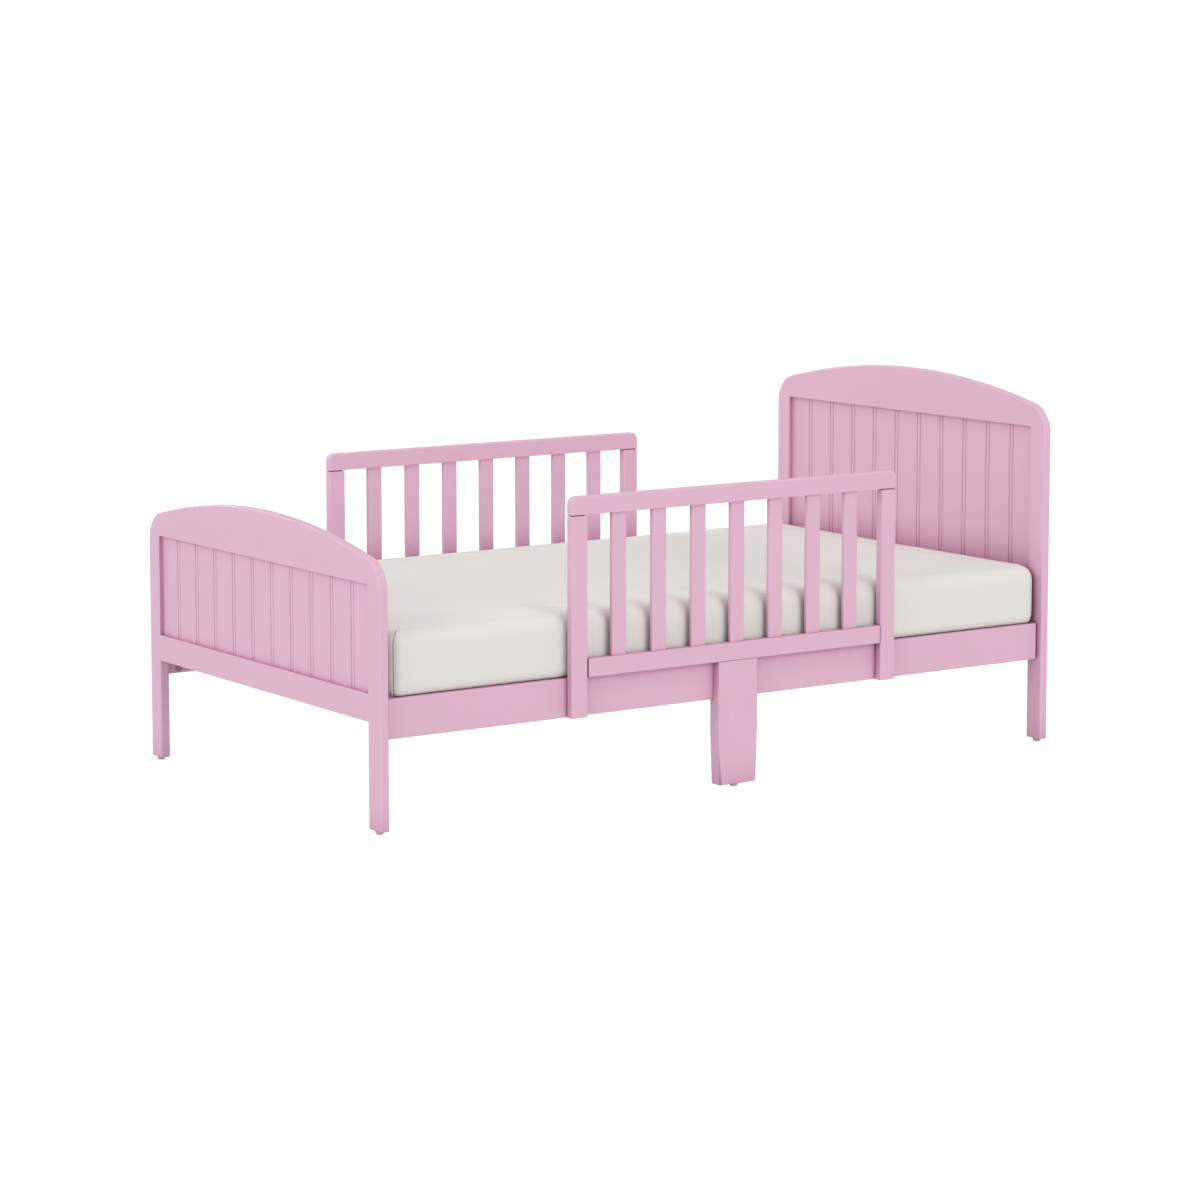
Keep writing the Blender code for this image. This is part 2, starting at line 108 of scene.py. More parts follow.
class ToddlerBedFrame(bpy.types.PropertyGroup):
    paint: colour("Paint", "Colour of the lacquer on all painted boards", "#D6ADC2")
    # Rounded edges are painted paler: partly thinner lacquer, partly a painted highlight
    paint_thin_and_highlighted: colour("Paint on edges", "Colour where the lacquer is thin over rounded edges", "#DDB8CC")
    # Painted shade: this deeper rose is mixed in where corners and nearby surfaces block the light
    paint_corner_shade: colour("Paint in corners", "Colour where the lacquer lies thick in corners", "#C084A6")
    # Painted shade: this dark rose goes where occlusion is strongest, down in slits and deep corners
    paint_slit_shade: colour("Paint in slits", "Colour down in the open joints of the guard rails", "#6E3852")
    paint_roughness: factor("Paint roughness", "How satin the lacquer is", 0.48)
    wood: colour("Bare wood", "Colour of the unpainted slats and beam", "#DDBE93")
    wood_dark: colour("Bare wood grain", "Colour of the late wood in the slats and beam", "#BF9565")
    glide: colour("Glides", "Colour of the moulded glides", "#B7AAB1")
    edge_radius: length("Edge radius", "Rounding of the boards' free edges", 0.003)
    rail_end_radius: length("Rail end radius", "Rounding of the side rails' upright end edges", 0.006)
    fine_radius: length("Fine edge radius", "Rounding of edges that border a panel or a joint", 0.0012)
    arch_radius: length("Arch radius", "Radius of the long arc over each end", 1.5)
    shoulder_radius: length("Shoulder radius", "Radius of each end's rounded shoulders", 0.05)
    guard_corner: length("Guard corner", "Radius of the guard rail's two top corners", 0.012)
    reveal: length("Reveal", "Dark joint between a guard post and the rails that meet it", 0.0016)
    slit_radius: length("Slit radius", "Rounding of the edges on each side of a reveal", 0.0003)


class ToddlerBedBeadboard(bpy.types.PropertyGroup):
    count: bpy.props.IntProperty(name="Beads", description="Beads across each panel", default=10, min=1)
    pitch: length("Bead pitch", "Distance from bead to bead", 0.0636)
    half_width: length("Bead half width", "From a bead's middle to the groove beside it", 0.0042)
    groove_half: length("Groove half width", "Half the width of the groove beside a bead", 0.0012)
    groove_depth: length("Groove depth", "Depth of the groove beside a bead", 0.0019)
    crown: length("Bead crown", "How far a bead's edges fall below its middle", 0.0004)
    step: length("Cutter step", "Width of one facet across a bead", 0.0006)


class ToddlerBedMattress(bpy.types.PropertyGroup):
    cover: colour("Cover", "Colour of the knitted cover", "#DBD9D4")
    thread: colour("Thread", "Colour of the corner stitching", "#CFCBC4")
    pressure: number("Filling", "Pressure that fills the cover", 4.0)
    most_move: length("Most swelling", "How far the filling may push the cover out", 0.006)
    edge: length("Soft edge", "Radius of the mattress's edges before it is filled", 0.022)
    stitch: length("Stitch", "Length of one stitch in the corner seams", 0.0045)
    thread_radius: length("Thread radius", "Radius of the sewing thread", 0.0004)


class ToddlerBedStage(bpy.types.PropertyGroup):
    floor: colour("Floor", "Colour of the pale floor", "#F6F6F6")
    glow: factor("Floor light", "Share of the floor's brightness that comes from lamps below it", 0.90)
    sky: number("Backdrop", "Brightness of the white room as seen", 1.07)
    room: number("Room light", "Brightness of the room as light", 0.62)
    bounce: number("Bounce", "Brightness of the floor as light", 0.76)
    lamps: number("Soft lights", "Power of each light round the bed, in watts", 98.0)
    top: number("Top light", "Power of the light over the bed, in watts", 22.0)
    focal: number("Focal length", "Lens of the camera, in millimetres", 105.86)


# ---- Nodes -------------------------------------------------------------------------------------------------


def put(tree, kind, inputs=(), **settings):
    """Adds a node with its settings. Each input is a value, or another node's output to link from."""
    node = tree.nodes.new(kind)
    for name, value in settings.items():
        setattr(node, name, value)
    for key, value in dict(inputs).items():
        if isinstance(value, bpy.types.NodeSocket):
            tree.links.new(value, node.inputs[key])
        else:
            node.inputs[key].default_value = value
    return node


def blend(tree, share, first, second, **settings):
    """A mix of two colours, or their product with blend_type="MULTIPLY"."""
    ends = {6: first, 7: second}
    return put(tree, "ShaderNodeMix", {0: share, **ends}, data_type="RGBA", **settings).outputs[2]


def remap(tree, value, first, last, low, high):
    """The value from first to last, stretched to run from low to high and held there past its ends."""
    return put(tree, "ShaderNodeMapRange", {0: value, 1: first, 2: last, 3: low, 4: high}).outputs[0]


def sum_up(tree, operation, first, second=0.0):
    return put(tree, "ShaderNodeMath", {0: first, 1: second}, operation=operation).outputs[0]


def noise(tree, place, scale, detail, **inputs):
    values = {"Vector": place, "Scale": scale, "Detail": detail, **inputs}
    return put(tree, "ShaderNodeTexNoise", values).outputs["Fac"]


def bump(tree, height, strength, distance, **inputs):
    values = {"Height": height, "Strength": strength, "Distance": distance, **inputs}
    return put(tree, "ShaderNodeBump", values).outputs[0]


def stretched(tree, place, scale):
    return put(tree, "ShaderNodeMapping", {"Vector": place, "Scale": scale}).outputs[0]


def end_material(material, tree, shader, seen, **links):
    """Links the shader's inputs, and gives the material its plain colour for the viewport."""
    for name, value in links.items():
        tree.links.new(value, shader.inputs[name.replace("_", " ")])
    material.diffuse_color = (*seen, 1.0)
    return material


def start_material(name):
    """A new material's tree with its shader, its surface's place in metres and an output."""
    material = bpy.data.materials.new(name)
    material.use_nodes = True
    tree = material.node_tree
    tree.nodes.clear()
    shader = put(tree, "ShaderNodeBsdfPrincipled")
    put(tree, "ShaderNodeOutputMaterial", {"Surface": shader.outputs[0]})
    place = put(tree, "ShaderNodeTexCoord").outputs["Object"]
    return material, tree, shader, place


def satin_lacquer(grain):
    """Poplar sprayed with satin lacquer. The eye gets an even soft colour with a faint telegraph of the
    grain, a fine orange peel in the gloss, paler rounded edges that are partly thin lacquer and partly a
    painted highlight, and painted shade of deep rose in grooves and corners, darker still in slits."""
    name = f"satin_lacquer_grain_{'xyz'[grain]}"
    if name in bpy.data.materials:
        return bpy.data.materials[name]
    sizes = bpy.context.scene.toddler_bed_frame
    material, tree, shader, place = start_material(name)
    # Grain lines 4 mm apart and 250 mm long, drawn coarser than poplar's 1 mm so that they show
    scale = [250.0, 250.0, 250.0]
    scale[grain] = 4.0
    lines = noise(tree, stretched(tree, place, scale), 1.0, 3.0, Distortion=0.3)
    # Drift of the spray over 120 mm, and an orange peel of 2 mm cells
    drift = noise(tree, place, 8.0, 2.0)
    peel = noise(tree, place, 500.0, 1.0)
    # The paler rounded edges stand for thinner lacquer and also for a painted highlight
    thin_and_highlighted = put(tree, "ShaderNodeAttribute", attribute_name="sanded_edge").outputs["Fac"]
    paint = tuple(sizes.paint)
    darker = tuple(c * 0.98 for c in paint)
    body = blend(tree, drift, (*darker, 1.0), (*paint, 1.0))
    edged = blend(tree, sum_up(tree, "MULTIPLY", thin_and_highlighted, 0.2), body, (*sizes.paint_thin_and_highlighted, 1.0))
    # Painted shade: corners and faces near another surface are darkened to a deeper rose by occlusion, and
    # slits deeper still
    corner = put(tree, "ShaderNodeAmbientOcclusion", {"Distance": CORNER_REACH}, samples=6).outputs["AO"]
    open_air = remap(tree, corner, 0.2, 0.92, 0.0, 1.0)
    corner_shaded = blend(tree, open_air, (*sizes.paint_corner_shade, 1.0), edged)
    # Painted shade: the darkest rose where occlusion is strongest
    out_of_slit = remap(tree, corner, 0.08, 0.34, 0.0, 1.0)
    slit_shaded = blend(tree, out_of_slit, (*sizes.paint_slit_shade, 1.0), corner_shaded)
    grained = blend(tree, 1.0, slit_shaded, remap(tree, lines, 0.35, 0.65, 0.985, 1.0), blend_type="MULTIPLY")
    gloss = remap(tree, drift, 0.3, 0.7, sizes.paint_roughness - 0.05, sizes.paint_roughness + 0.05)
    telegraph = bump(tree, lines, 0.2, 0.00006)
    skin = bump(tree, peel, 0.2, 0.00004, Normal=telegraph)
    shader.inputs["IOR"].default_value = 1.5
    shader.inputs["Coat Weight"].default_value = 0.02
    shader.inputs["Coat Roughness"].default_value = 0.4
    shader.inputs["Specular IOR Level"].default_value = 0.22
    return end_material(material, tree, shader, paint, Base_Color=grained, Roughness=gloss, Normal=skin)


def planed_pine():
    """Pine planed smooth and left bare. The eye gets honey-coloured growth rings along the board, short pores
    and a dry, slightly uneven sheen."""
    name = "planed_pine"
    if name in bpy.data.materials:
        return bpy.data.materials[name]
    sizes = bpy.context.scene.toddler_bed_frame
    material, tree, shader, place = start_material(name)
    # Growth rings about 7 mm apart across the board, wandering over 300 mm along it
    along = stretched(tree, place, (1.0, 0.10, 1.0))
    wave = {"Vector": along, "Scale": 45.0, "Distortion": 9.0, "Detail": 2.0, "Detail Scale": 0.35}
    rings = put(tree, "ShaderNodeTexWave", wave, wave_type="BANDS", bands_direction="X").outputs["Fac"]
    # Pores 0.8 mm wide and 25 mm long
    pores = noise(tree, stretched(tree, place, (1200.0, 40.0, 1200.0)), 1.0, 2.0)
    tone = noise(tree, place, 5.0, 1.0)
    late = remap(tree, rings, 0.35, 1.0, 0.0, 0.75)
    ringed = blend(tree, late, (*sizes.wood, 1.0), (*sizes.wood_dark, 1.0))
    fleck = remap(tree, pores, 0.3, 0.6, 0.88, 1.0)
    toned = remap(tree, tone, 0.3, 0.7, 0.92, 1.04)
    bare = blend(tree, 1.0, ringed, sum_up(tree, "MULTIPLY", fleck, toned), blend_type="MULTIPLY")
    dry = remap(tree, pores, 0.3, 0.7, 0.68, 0.56)
    relief = bump(tree, fleck, 0.5, 0.0002)
    return end_material(material, tree, shader, sizes.wood, Base_Color=bare, Roughness=dry, Normal=relief)


def plain_finish(name, base, grit, roughness, metallic, depth):
    """A material of one colour whose fine skin shows in its gloss and relief. Grit is its cell in metres."""
    if name in bpy.data.materials:
        return bpy.data.materials[name]
    material, tree, shader, place = start_material(name)
    skin = noise(tree, place, 1.0 / grit, 2.0)
    cloud = noise(tree, place, 60.0, 1.0)
    tint = blend(tree, 1.0, (*base, 1.0), remap(tree, cloud, 0.3, 0.7, 0.9, 1.04), blend_type="MULTIPLY")
    gloss = remap(tree, skin, 0.3, 0.7, roughness - 0.07, roughness + 0.07)
    relief = bump(tree, skin, 0.5, depth)
    shader.inputs["Metallic"].default_value = metallic
    return end_material(material, tree, shader, base, Base_Color=tint, Roughness=gloss, Normal=relief)


def moulded_nylon():
    """Injection-moulded nylon. The eye gets a dull grey with a fine spark-eroded texture."""
    base = tuple(bpy.context.scene.toddler_bed_frame.glide)
    return plain_finish("moulded_nylon", base, 0.0006, 0.5, 0.0, 0.00005)


def sprayed_zinc():
    """Die-cast zinc sprayed with the lacquer. The eye gets a dull rose disc, cloudy and slightly pitted."""
    return plain_finish("sprayed_zinc", linear("#B88FA5"), 0.0004, 0.5, 0.0, 0.00004)


def plated_steel():
    """Steel with bright zinc plating. The eye gets a bluish metal with a clean tight gloss."""
    return plain_finish("plated_steel", linear("#C9CCD1"), 0.0003, 0.27, 1.0, 0.00001)


def spun_thread():
    """Spun polyester sewing thread. The eye gets small matt beads of off-white."""
    base = tuple(bpy.context.scene.toddler_bed_mattress.thread)
    return plain_finish("spun_thread", base, 0.0002, 0.8, 0.0, 0.00005)


def corner_seams(tree, place, middle, half, edge):
    """1 on the seams down the mattress's corners, which run at 45 degrees to its sides, and 0 elsewhere."""
    centred = put(tree, "ShaderNodeVectorMath", {0: place, 1: middle}, operation="SUBTRACT").outputs[0]
    out = put(tree, "ShaderNodeVectorMath", {0: centred}, operation="ABSOLUTE").outputs[0]
    inner = (half.x - edge, half.y - edge, 0.0)
    reach = put(tree, "ShaderNodeVectorMath", {0: out, 1: inner}, operation="SUBTRACT").outputs[0]
    past_x, past_y, _ = put(tree, "ShaderNodeSeparateXYZ", {0: reach}).outputs
    away = sum_up(tree, "ABSOLUTE", sum_up(tree, "SUBTRACT", past_x, past_y))
    line = remap(tree, away, 0.0, SEAM_WIDTH, 1.0, 0.0)
    inside = remap(tree, sum_up(tree, "MINIMUM", past_x, past_y), -0.001, 0.002, 0.0, 1.0)
    return sum_up(tree, "MULTIPLY", line, inside)


def knitted_ticking(middle, half, edge):
    """Knitted polyester ticking, heat set. The eye gets a matt off-white with fine ribs in both directions, a
    soft bloom at grazing angles, slow puckers over the foam and a seam down each corner, darkened along its
    line as painted shade in its fold."""
    name = "knitted_ticking"
    if name in bpy.data.materials:
        return bpy.data.materials[name]
    cover = tuple(bpy.context.scene.toddler_bed_mattress.cover)
    material, tree, shader, place = start_material(name)
    # Ribs every 2.4 mm, twice the real knit's, so that they show. Each direction has its own row of ribs.
    turns = 2 * math.pi / 0.0024
    rows = put(tree, "ShaderNodeVectorMath", {0: place, "Scale": turns}, operation="SCALE").outputs[0]
    waves = put(tree, "ShaderNodeVectorMath", {0: rows}, operation="SINE").outputs[0]
    rib_x, rib_y, rib_z = put(tree, "ShaderNodeSeparateXYZ", {0: waves}).outputs
    knit = sum_up(tree, "ADD", sum_up(tree, "MULTIPLY", rib_x, rib_y), rib_z)
    slub = noise(tree, place, 220.0, 2.0)
    # Puckers about 70 mm across
    pucker = noise(tree, place, 14.0, 1.0)
    seam = corner_seams(tree, place, middle, half, edge)
    pale = remap(tree, slub, 0.3, 0.7, 0.985, 1.005)
    ribbed = remap(tree, knit, -1.5, 1.5, 0.98, 1.01)
    # Painted shade: the cover is darkened along each corner seam, as shade in its fold
    closed = remap(tree, seam, 0.0, 1.0, 1.0, 0.6)
    shade = sum_up(tree, "MULTIPLY", sum_up(tree, "MULTIPLY", pale, ribbed), closed)
    tint = blend(tree, 1.0, (*cover, 1.0), shade, blend_type="MULTIPLY")
    soft = remap(tree, slub, 0.3, 0.7, 0.82, 0.94)
    slow = bump(tree, pucker, 0.4, 0.0012)
    fine = bump(tree, knit, 0.35, 0.00015, Normal=slow)
    values = {"Height": seam, "Strength": 0.8, "Distance": 0.0015, "Normal": fine}
    sewn = put(tree, "ShaderNodeBump", values, invert=True).outputs[0]
    shader.inputs["Sheen Weight"].default_value = 0.08
    shader.inputs["Sheen Roughness"].default_value = 0.5
    shader.inputs["Specular IOR Level"].default_value = 0.25
    return end_material(material, tree, shader, cover, Base_Color=tint, Roughness=soft, Normal=sewn)


# ---- Shapes ------------------------------------------------------------------------------------------------


def centre_of(node):
    low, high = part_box(node)
    return (low + high) / 2


def add_box(bm, first, last):
    """A box between two corners, whichever side of the bed each is on."""
    low, high = list(map(min, first, last)), list(map(max, first, last))
    for vert in bmesh.ops.create_cube(bm, size=1.0)["verts"]:
        vert.co = [low[i] if vert.co[i] < 0 else high[i] for i in range(3)]


def box_shape(low, high):
    bm = bmesh.new()
    add_box(bm, low, high)
    return bm


def cross(along, across, half_width, bottom):
    """Two crossed bars that cut a driver's recess down to its bottom."""
    arms = ((along, half_width), (half_width, across))
    return [box_shape((-a, -b, bottom), (a, b, 0.002)) for a, b in arms]


def turn(bm, angle, axis):
    bmesh.ops.rotate(bm, verts=bm.verts, cent=(0, 0, 0), matrix=Matrix.Rotation(angle, 3, axis))


def mark_level(bm, level):
    """Cuts a shape's faces along a level, and leaves it whole."""
    everything = bm.verts[:] + bm.edges[:] + bm.faces[:]
    bmesh.ops.bisect_plane(bm, geom=everything, plane_co=(0, 0, level), plane_no=(0, 0, 1))


def prism(outline, axis, start, end):
    """An outline of 2-D points, drawn across the other two axes in order, given a thickness."""
    others = [i for i in range(3) if i != axis]
    bm = bmesh.new()
    verts = []
    for point in outline:
        place = Vector((0.0, 0.0, 0.0))
        place[axis] = start
        place[others[0]], place[others[1]] = point
        verts.append(bm.verts.new(place))
    face = bm.faces.new(verts)
    for item in bmesh.ops.extrude_face_region(bm, geom=[face])["geom"]:
        if isinstance(item, bmesh.types.BMVert):
            item.co[axis] = end
    bmesh.ops.recalc_face_normals(bm, faces=bm.faces)
    return bm


def turned(profile, sides):
    """A closed shape turned on a lathe, from (radius, height) points that start and end on the axis."""
    bm = bmesh.new()
    rings = []
    for radius, height in profile:
        if radius == 0:
            rings.append([bm.verts.new((0.0, 0.0, height))])
            continue
        angles = [2 * math.pi * k / sides for k in range(sides)]
        rings.append([bm.verts.new((radius * math.cos(a), radius * math.sin(a), height)) for a in angles])
    for lower, upper in zip(rings, rings[1:]):
        for k in range(sides):
            after = (k + 1) % sides
            ring = [lower[k % len(lower)], lower[after % len(lower)]]
            ring += [upper[after % len(upper)], upper[k % len(upper)]]
            bm.faces.new(list(dict.fromkeys(ring)))
    bmesh.ops.recalc_face_normals(bm, faces=bm.faces)
    return bm


def arc(centre, radius, first, last, steps):
    angles = [first + (last - first) * i / steps for i in range(steps + 1)]
    return [(centre[0] + radius * math.cos(a), centre[1] + radius * math.sin(a)) for a in angles]


def helper(bm, name="helper"):
    """A bmesh put on a passing object, which the caller removes."""
    mesh = bpy.data.meshes.new(name)
    bm.to_mesh(mesh)
    bm.free()
    obj = bpy.data.objects.new(name, mesh)
    bpy.context.scene.collection.objects.link(obj)
    return obj


def settle(obj, name):
    """The object's evaluated mesh on a new object, and the old object gone."""
    mesh = bpy.data.meshes.new_from_object(obj.evaluated_get(bpy.context.evaluated_depsgraph_get()))
    mesh.name = name
    bpy.data.objects.remove(obj, do_unlink=True)
    made = bpy.data.objects.new(name, mesh)
    bpy.context.scene.collection.objects.link(made)
    return made


def carve(bm, tools):
    """Cuts closed shapes out of another."""
    piece = helper(bm)
    cutters = [helper(tool, "cutter") for tool in tools]
    for cutter in cutters:
        cut = piece.modifiers.new("Cut", "BOOLEAN")
        cut.object = cutter
        cut.solver = "EXACT"
    made = settle(piece, "carved")
    carved = bmesh.new()
    carved.from_mesh(made.data)
    for obj in [made, *cutters]:
        bpy.data.objects.remove(obj, do_unlink=True)
    return carved


def sand(name, bm, material, rounding):
    """A sharp-edged shape made a board. From a sharp edge's middle and direction, rounding(middle, run) gives
    its radius in metres, or 0 to leave it. The sanded strips are marked for the paint."""
    weight = bm.edges.layers.float.new("bevel_weight_edge")
    widest = 0.0
    radii = {}
    for edge in bm.edges:
        if len(edge.link_faces) != 2 or edge.calc_face_angle() < SHARP:
            continue
        ends = [v.co for v in edge.verts]
        radii[edge] = rounding((ends[0] + ends[1]) / 2, (ends[1] - ends[0]).normalized())
        widest = max(widest, radii[edge])
    for edge, radius in radii.items():
        edge[weight] = radius / widest
        edge.smooth = radius > 0
    for face in bm.faces:
        face.smooth = True
    normals = np.array([face.normal for face in bm.faces])
    levels = np.array([face.normal.dot(face.verts[0].co) for face in bm.faces])
    obj = helper(bm)
    bevel = obj.modifiers.new("Sanded edges", "BEVEL")
    bevel.width = widest
    bevel.segments = 3
    bevel.limit_method = "WEIGHT"
    bevel.harden_normals = True
    made = settle(obj, name)
    points = np.empty(len(made.data.vertices) * 3, np.float32)
    made.data.vertices.foreach_get("co", points)
    off = np.abs(points.reshape(-1, 3) @ normals.T - levels).min(axis=1) > 2 * TOUCHING
    edges = made.data.attributes.new("sanded_edge", "FLOAT", "POINT")
    edges.data.foreach_set("value", off.astype(np.float32))
    made.data.materials.clear()
    made.data.materials.append(material)
    return made


def fit(piece, slot, *nodes, body="bed_frame"):
    """The piece goes with its body, and stands for the nodes that it was drawn from."""
    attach(piece, body)
    if nodes:
        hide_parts(*nodes)


def lacquered(node, bm, grain, rounding):
    """A sharp-edged shape sanded and sprayed, in place of one node."""
    fit(sand(f"{node}_lacquered", bm, satin_lacquer(grain), rounding), "painted_wood", node)


# ---- Geometry node trees -----------------------------------------------------------------------------------


def start_tree(name, inputs):
    """A geometry tree with named inputs, given as {name: kind}, and what its input node gives."""
    tree = bpy.data.node_groups.new(name, "GeometryNodeTree")
    for label, kind in {"Geometry": "Geometry", **inputs, "Material": "Material"}.items():
        tree.interface.new_socket(name=label, in_out="INPUT", socket_type=f"NodeSocket{kind}")
    tree.interface.new_socket(name="Geometry", in_out="OUTPUT", socket_type="NodeSocketGeometry")
    given = put(tree, "NodeGroupInput").outputs
    return tree, given


def end_tree(tree, given, geometry, middle=None):
    """Ends a tree in real geometry with its material, moved to its middle if it has one."""
    if middle:
        moved = put(tree, "GeometryNodeTransform", {"Geometry": geometry, "Translation": middle})
        geometry = moved.outputs[0]
    real = put(tree, "GeometryNodeRealizeInstances", {"Geometry": geometry}).outputs[0]
    painted = put(tree, "GeometryNodeSetMaterial", {"Geometry": real, "Material": given["Material"]})
    put(tree, "NodeGroupOutput", {"Geometry": painted.outputs[0]})
    return tree


def grown(name, drawing, tree, **values):
    """What a tree makes from a drawing, as one plain mesh. Values go by input name, with _ for a space."""
    sockets = {
        item.name: item.identifier
        for item in tree.interface.items_tree
        if item.item_type == "SOCKET" and item.in_out == "INPUT"
    }
    grow = drawing.modifiers.new(tree.name, "NODES")
    grow.node_group = tree
    for key, value in values.items():
        grow[sockets[key.replace("_", " ")]] = value
    made = settle(drawing, name)
    made.data.shade_smooth()
    return made


def rows_tree():
    """Sets a drawing out in rows along the bed. Copies on the far row are turned to face the middle."""
    inputs = {"Count along": "Int", "Count across": "Int", "Spread along": "Float", "Spread across": "Float"}
    tree, given = start_tree("Set out in rows", {**inputs, "Middle": "Vector"})
    grid = put(
        tree,
        "GeometryNodeMeshGrid",
        {
            "Size X": given["Spread along"],
            "Size Y": given["Spread across"],
            "Vertices X": given["Count along"],
            "Vertices Y": given["Count across"],
        },
    )
    place = put(tree, "ShaderNodeSeparateXYZ", {0: put(tree, "GeometryNodeInputPosition").outputs[0]})
    far = sum_up(tree, "GREATER_THAN", place.outputs[1], 1e-4)
    angles = put(tree, "ShaderNodeCombineXYZ", {2: sum_up(tree, "MULTIPLY", far, math.pi)})
    each = {"Points": grid.outputs[0], "Instance": given["Geometry"], "Rotation": angles.outputs[0]}
    copies = put(tree, "GeometryNodeInstanceOnPoints", each)
    return end_tree(tree, given, copies.outputs[0], given["Middle"])


def beadboard_tree():
    """A flat board whose faces are cut across in equal steps and pushed in to leave beads between grooves."""
    floats = ["Thickness", "Width", "Height", "Pitch", "Bead half width", "Groove half width"]
    floats += ["Groove depth", "Crown", "Beads"]
    inputs = {**dict.fromkeys(floats, "Float"), "Columns": "Int", "Middle": "Vector"}
    tree, given = start_tree("Beadboard", inputs)
    size = put(tree, "ShaderNodeCombineXYZ", {0: given["Thickness"], 1: given["Width"], 2: given["Height"]})
    cells = {"Size": size.outputs[0], "Vertices X": 2, "Vertices Y": given["Columns"], "Vertices Z": 2}
    board = put(tree, "GeometryNodeMeshCube", cells)
    place = put(tree, "ShaderNodeSeparateXYZ", {0: put(tree, "GeometryNodeInputPosition").outputs[0]})

    def maths(operation, a, b=0.0):
        return sum_up(tree, operation, a, b)

    # How far across the board from the nearest bead's middle
    half_count = maths("MULTIPLY", given["Beads"], 0.5)
    steps = maths("ADD", maths("DIVIDE", place.outputs[1], given["Pitch"]), half_count)
    away = maths("MULTIPLY", maths("ABSOLUTE", maths("SUBTRACT", maths("FRACT", steps), 0.5)), given["Pitch"])
    # A V groove beside each bead, and the bead falling a little from its middle to its grooves
    beside = maths("ABSOLUTE", maths("SUBTRACT", away, given["Bead half width"]))
    share = maths("DIVIDE", beside, given["Groove half width"])
    groove = maths("MULTIPLY", maths("MAXIMUM", maths("SUBTRACT", 1.0, share), 0.0), given["Groove depth"])
    within = maths("MINIMUM", maths("DIVIDE", away, given["Bead half width"]), 1.0)
    on_bead = maths("LESS_THAN", away, given["Bead half width"])
    fall = maths("MULTIPLY", maths("MULTIPLY", maths("MULTIPLY", within, within), given["Crown"]), on_bead)
    deep = maths("MAXIMUM", groove, fall)
    push = maths("MULTIPLY", maths("MULTIPLY", deep, maths("SIGN", place.outputs[0])), -1.0)
    offset = put(tree, "ShaderNodeCombineXYZ", {0: push}).outputs[0]
    cut = put(tree, "GeometryNodeSetPosition", {"Geometry": board.outputs["Mesh"], "Offset": offset})
    return end_tree(tree, given, cut.outputs[0], given["Middle"])


def stitch_tree():
    """Lays one short round thread after another along each drawn line, with a gap between them."""
    tree, given = start_tree("Stitches", {"Stitch": "Float", "Thread radius": "Float"})
    pitch = sum_up(tree, "MULTIPLY", given["Stitch"], STITCH_PITCH)
    seam = put(tree, "GeometryNodeMeshToCurve", {"Mesh": given["Geometry"]}).outputs[0]
    points = put(tree, "GeometryNodeCurveToPoints", {"Curve": seam, "Length": pitch}, mode="LENGTH").outputs
    round_thread = put(tree, "GeometryNodeMeshUVSphere", {"Segments": 6, "Rings": 4, "Radius": 1.0})
    half = sum_up(tree, "MULTIPLY", given["Stitch"], 0.5)
    radius = given["Thread radius"]
    sizes = put(tree, "ShaderNodeCombineXYZ", {0: radius, 1: radius, 2: half}).outputs[0]
    each = {"Points": points["Points"], "Rotation": points["Rotation"], "Scale": sizes}
    each["Instance"] = round_thread.outputs["Mesh"]
    return end_tree(tree, given, put(tree, "GeometryNodeInstanceOnPoints", each).outputs[0])


def set_out(name, drawing, material, along, across, height, sharp=None):
    """Copies of a drawing in rows, centred over the bed. Along and across are each (count, distance from
    first to last). Edges that turn more than sharp, in degrees, are not smoothed."""
    tree = bpy.data.node_groups.get("Set out in rows") or rows_tree()
    rows = {"Count_along": along[0], "Spread_along": along[1]}
    rows |= {"Count_across": across[0], "Spread_across": across[1]}
    made = grown(name, drawing, tree, **rows, Middle=(0.0, 0.0, height), Material=material)
    if sharp:
        made.data.set_sharp_from_angle(angle=math.radians(sharp))
    return made


# ---- Pieces ------------------------------------------------------------------------------------------------


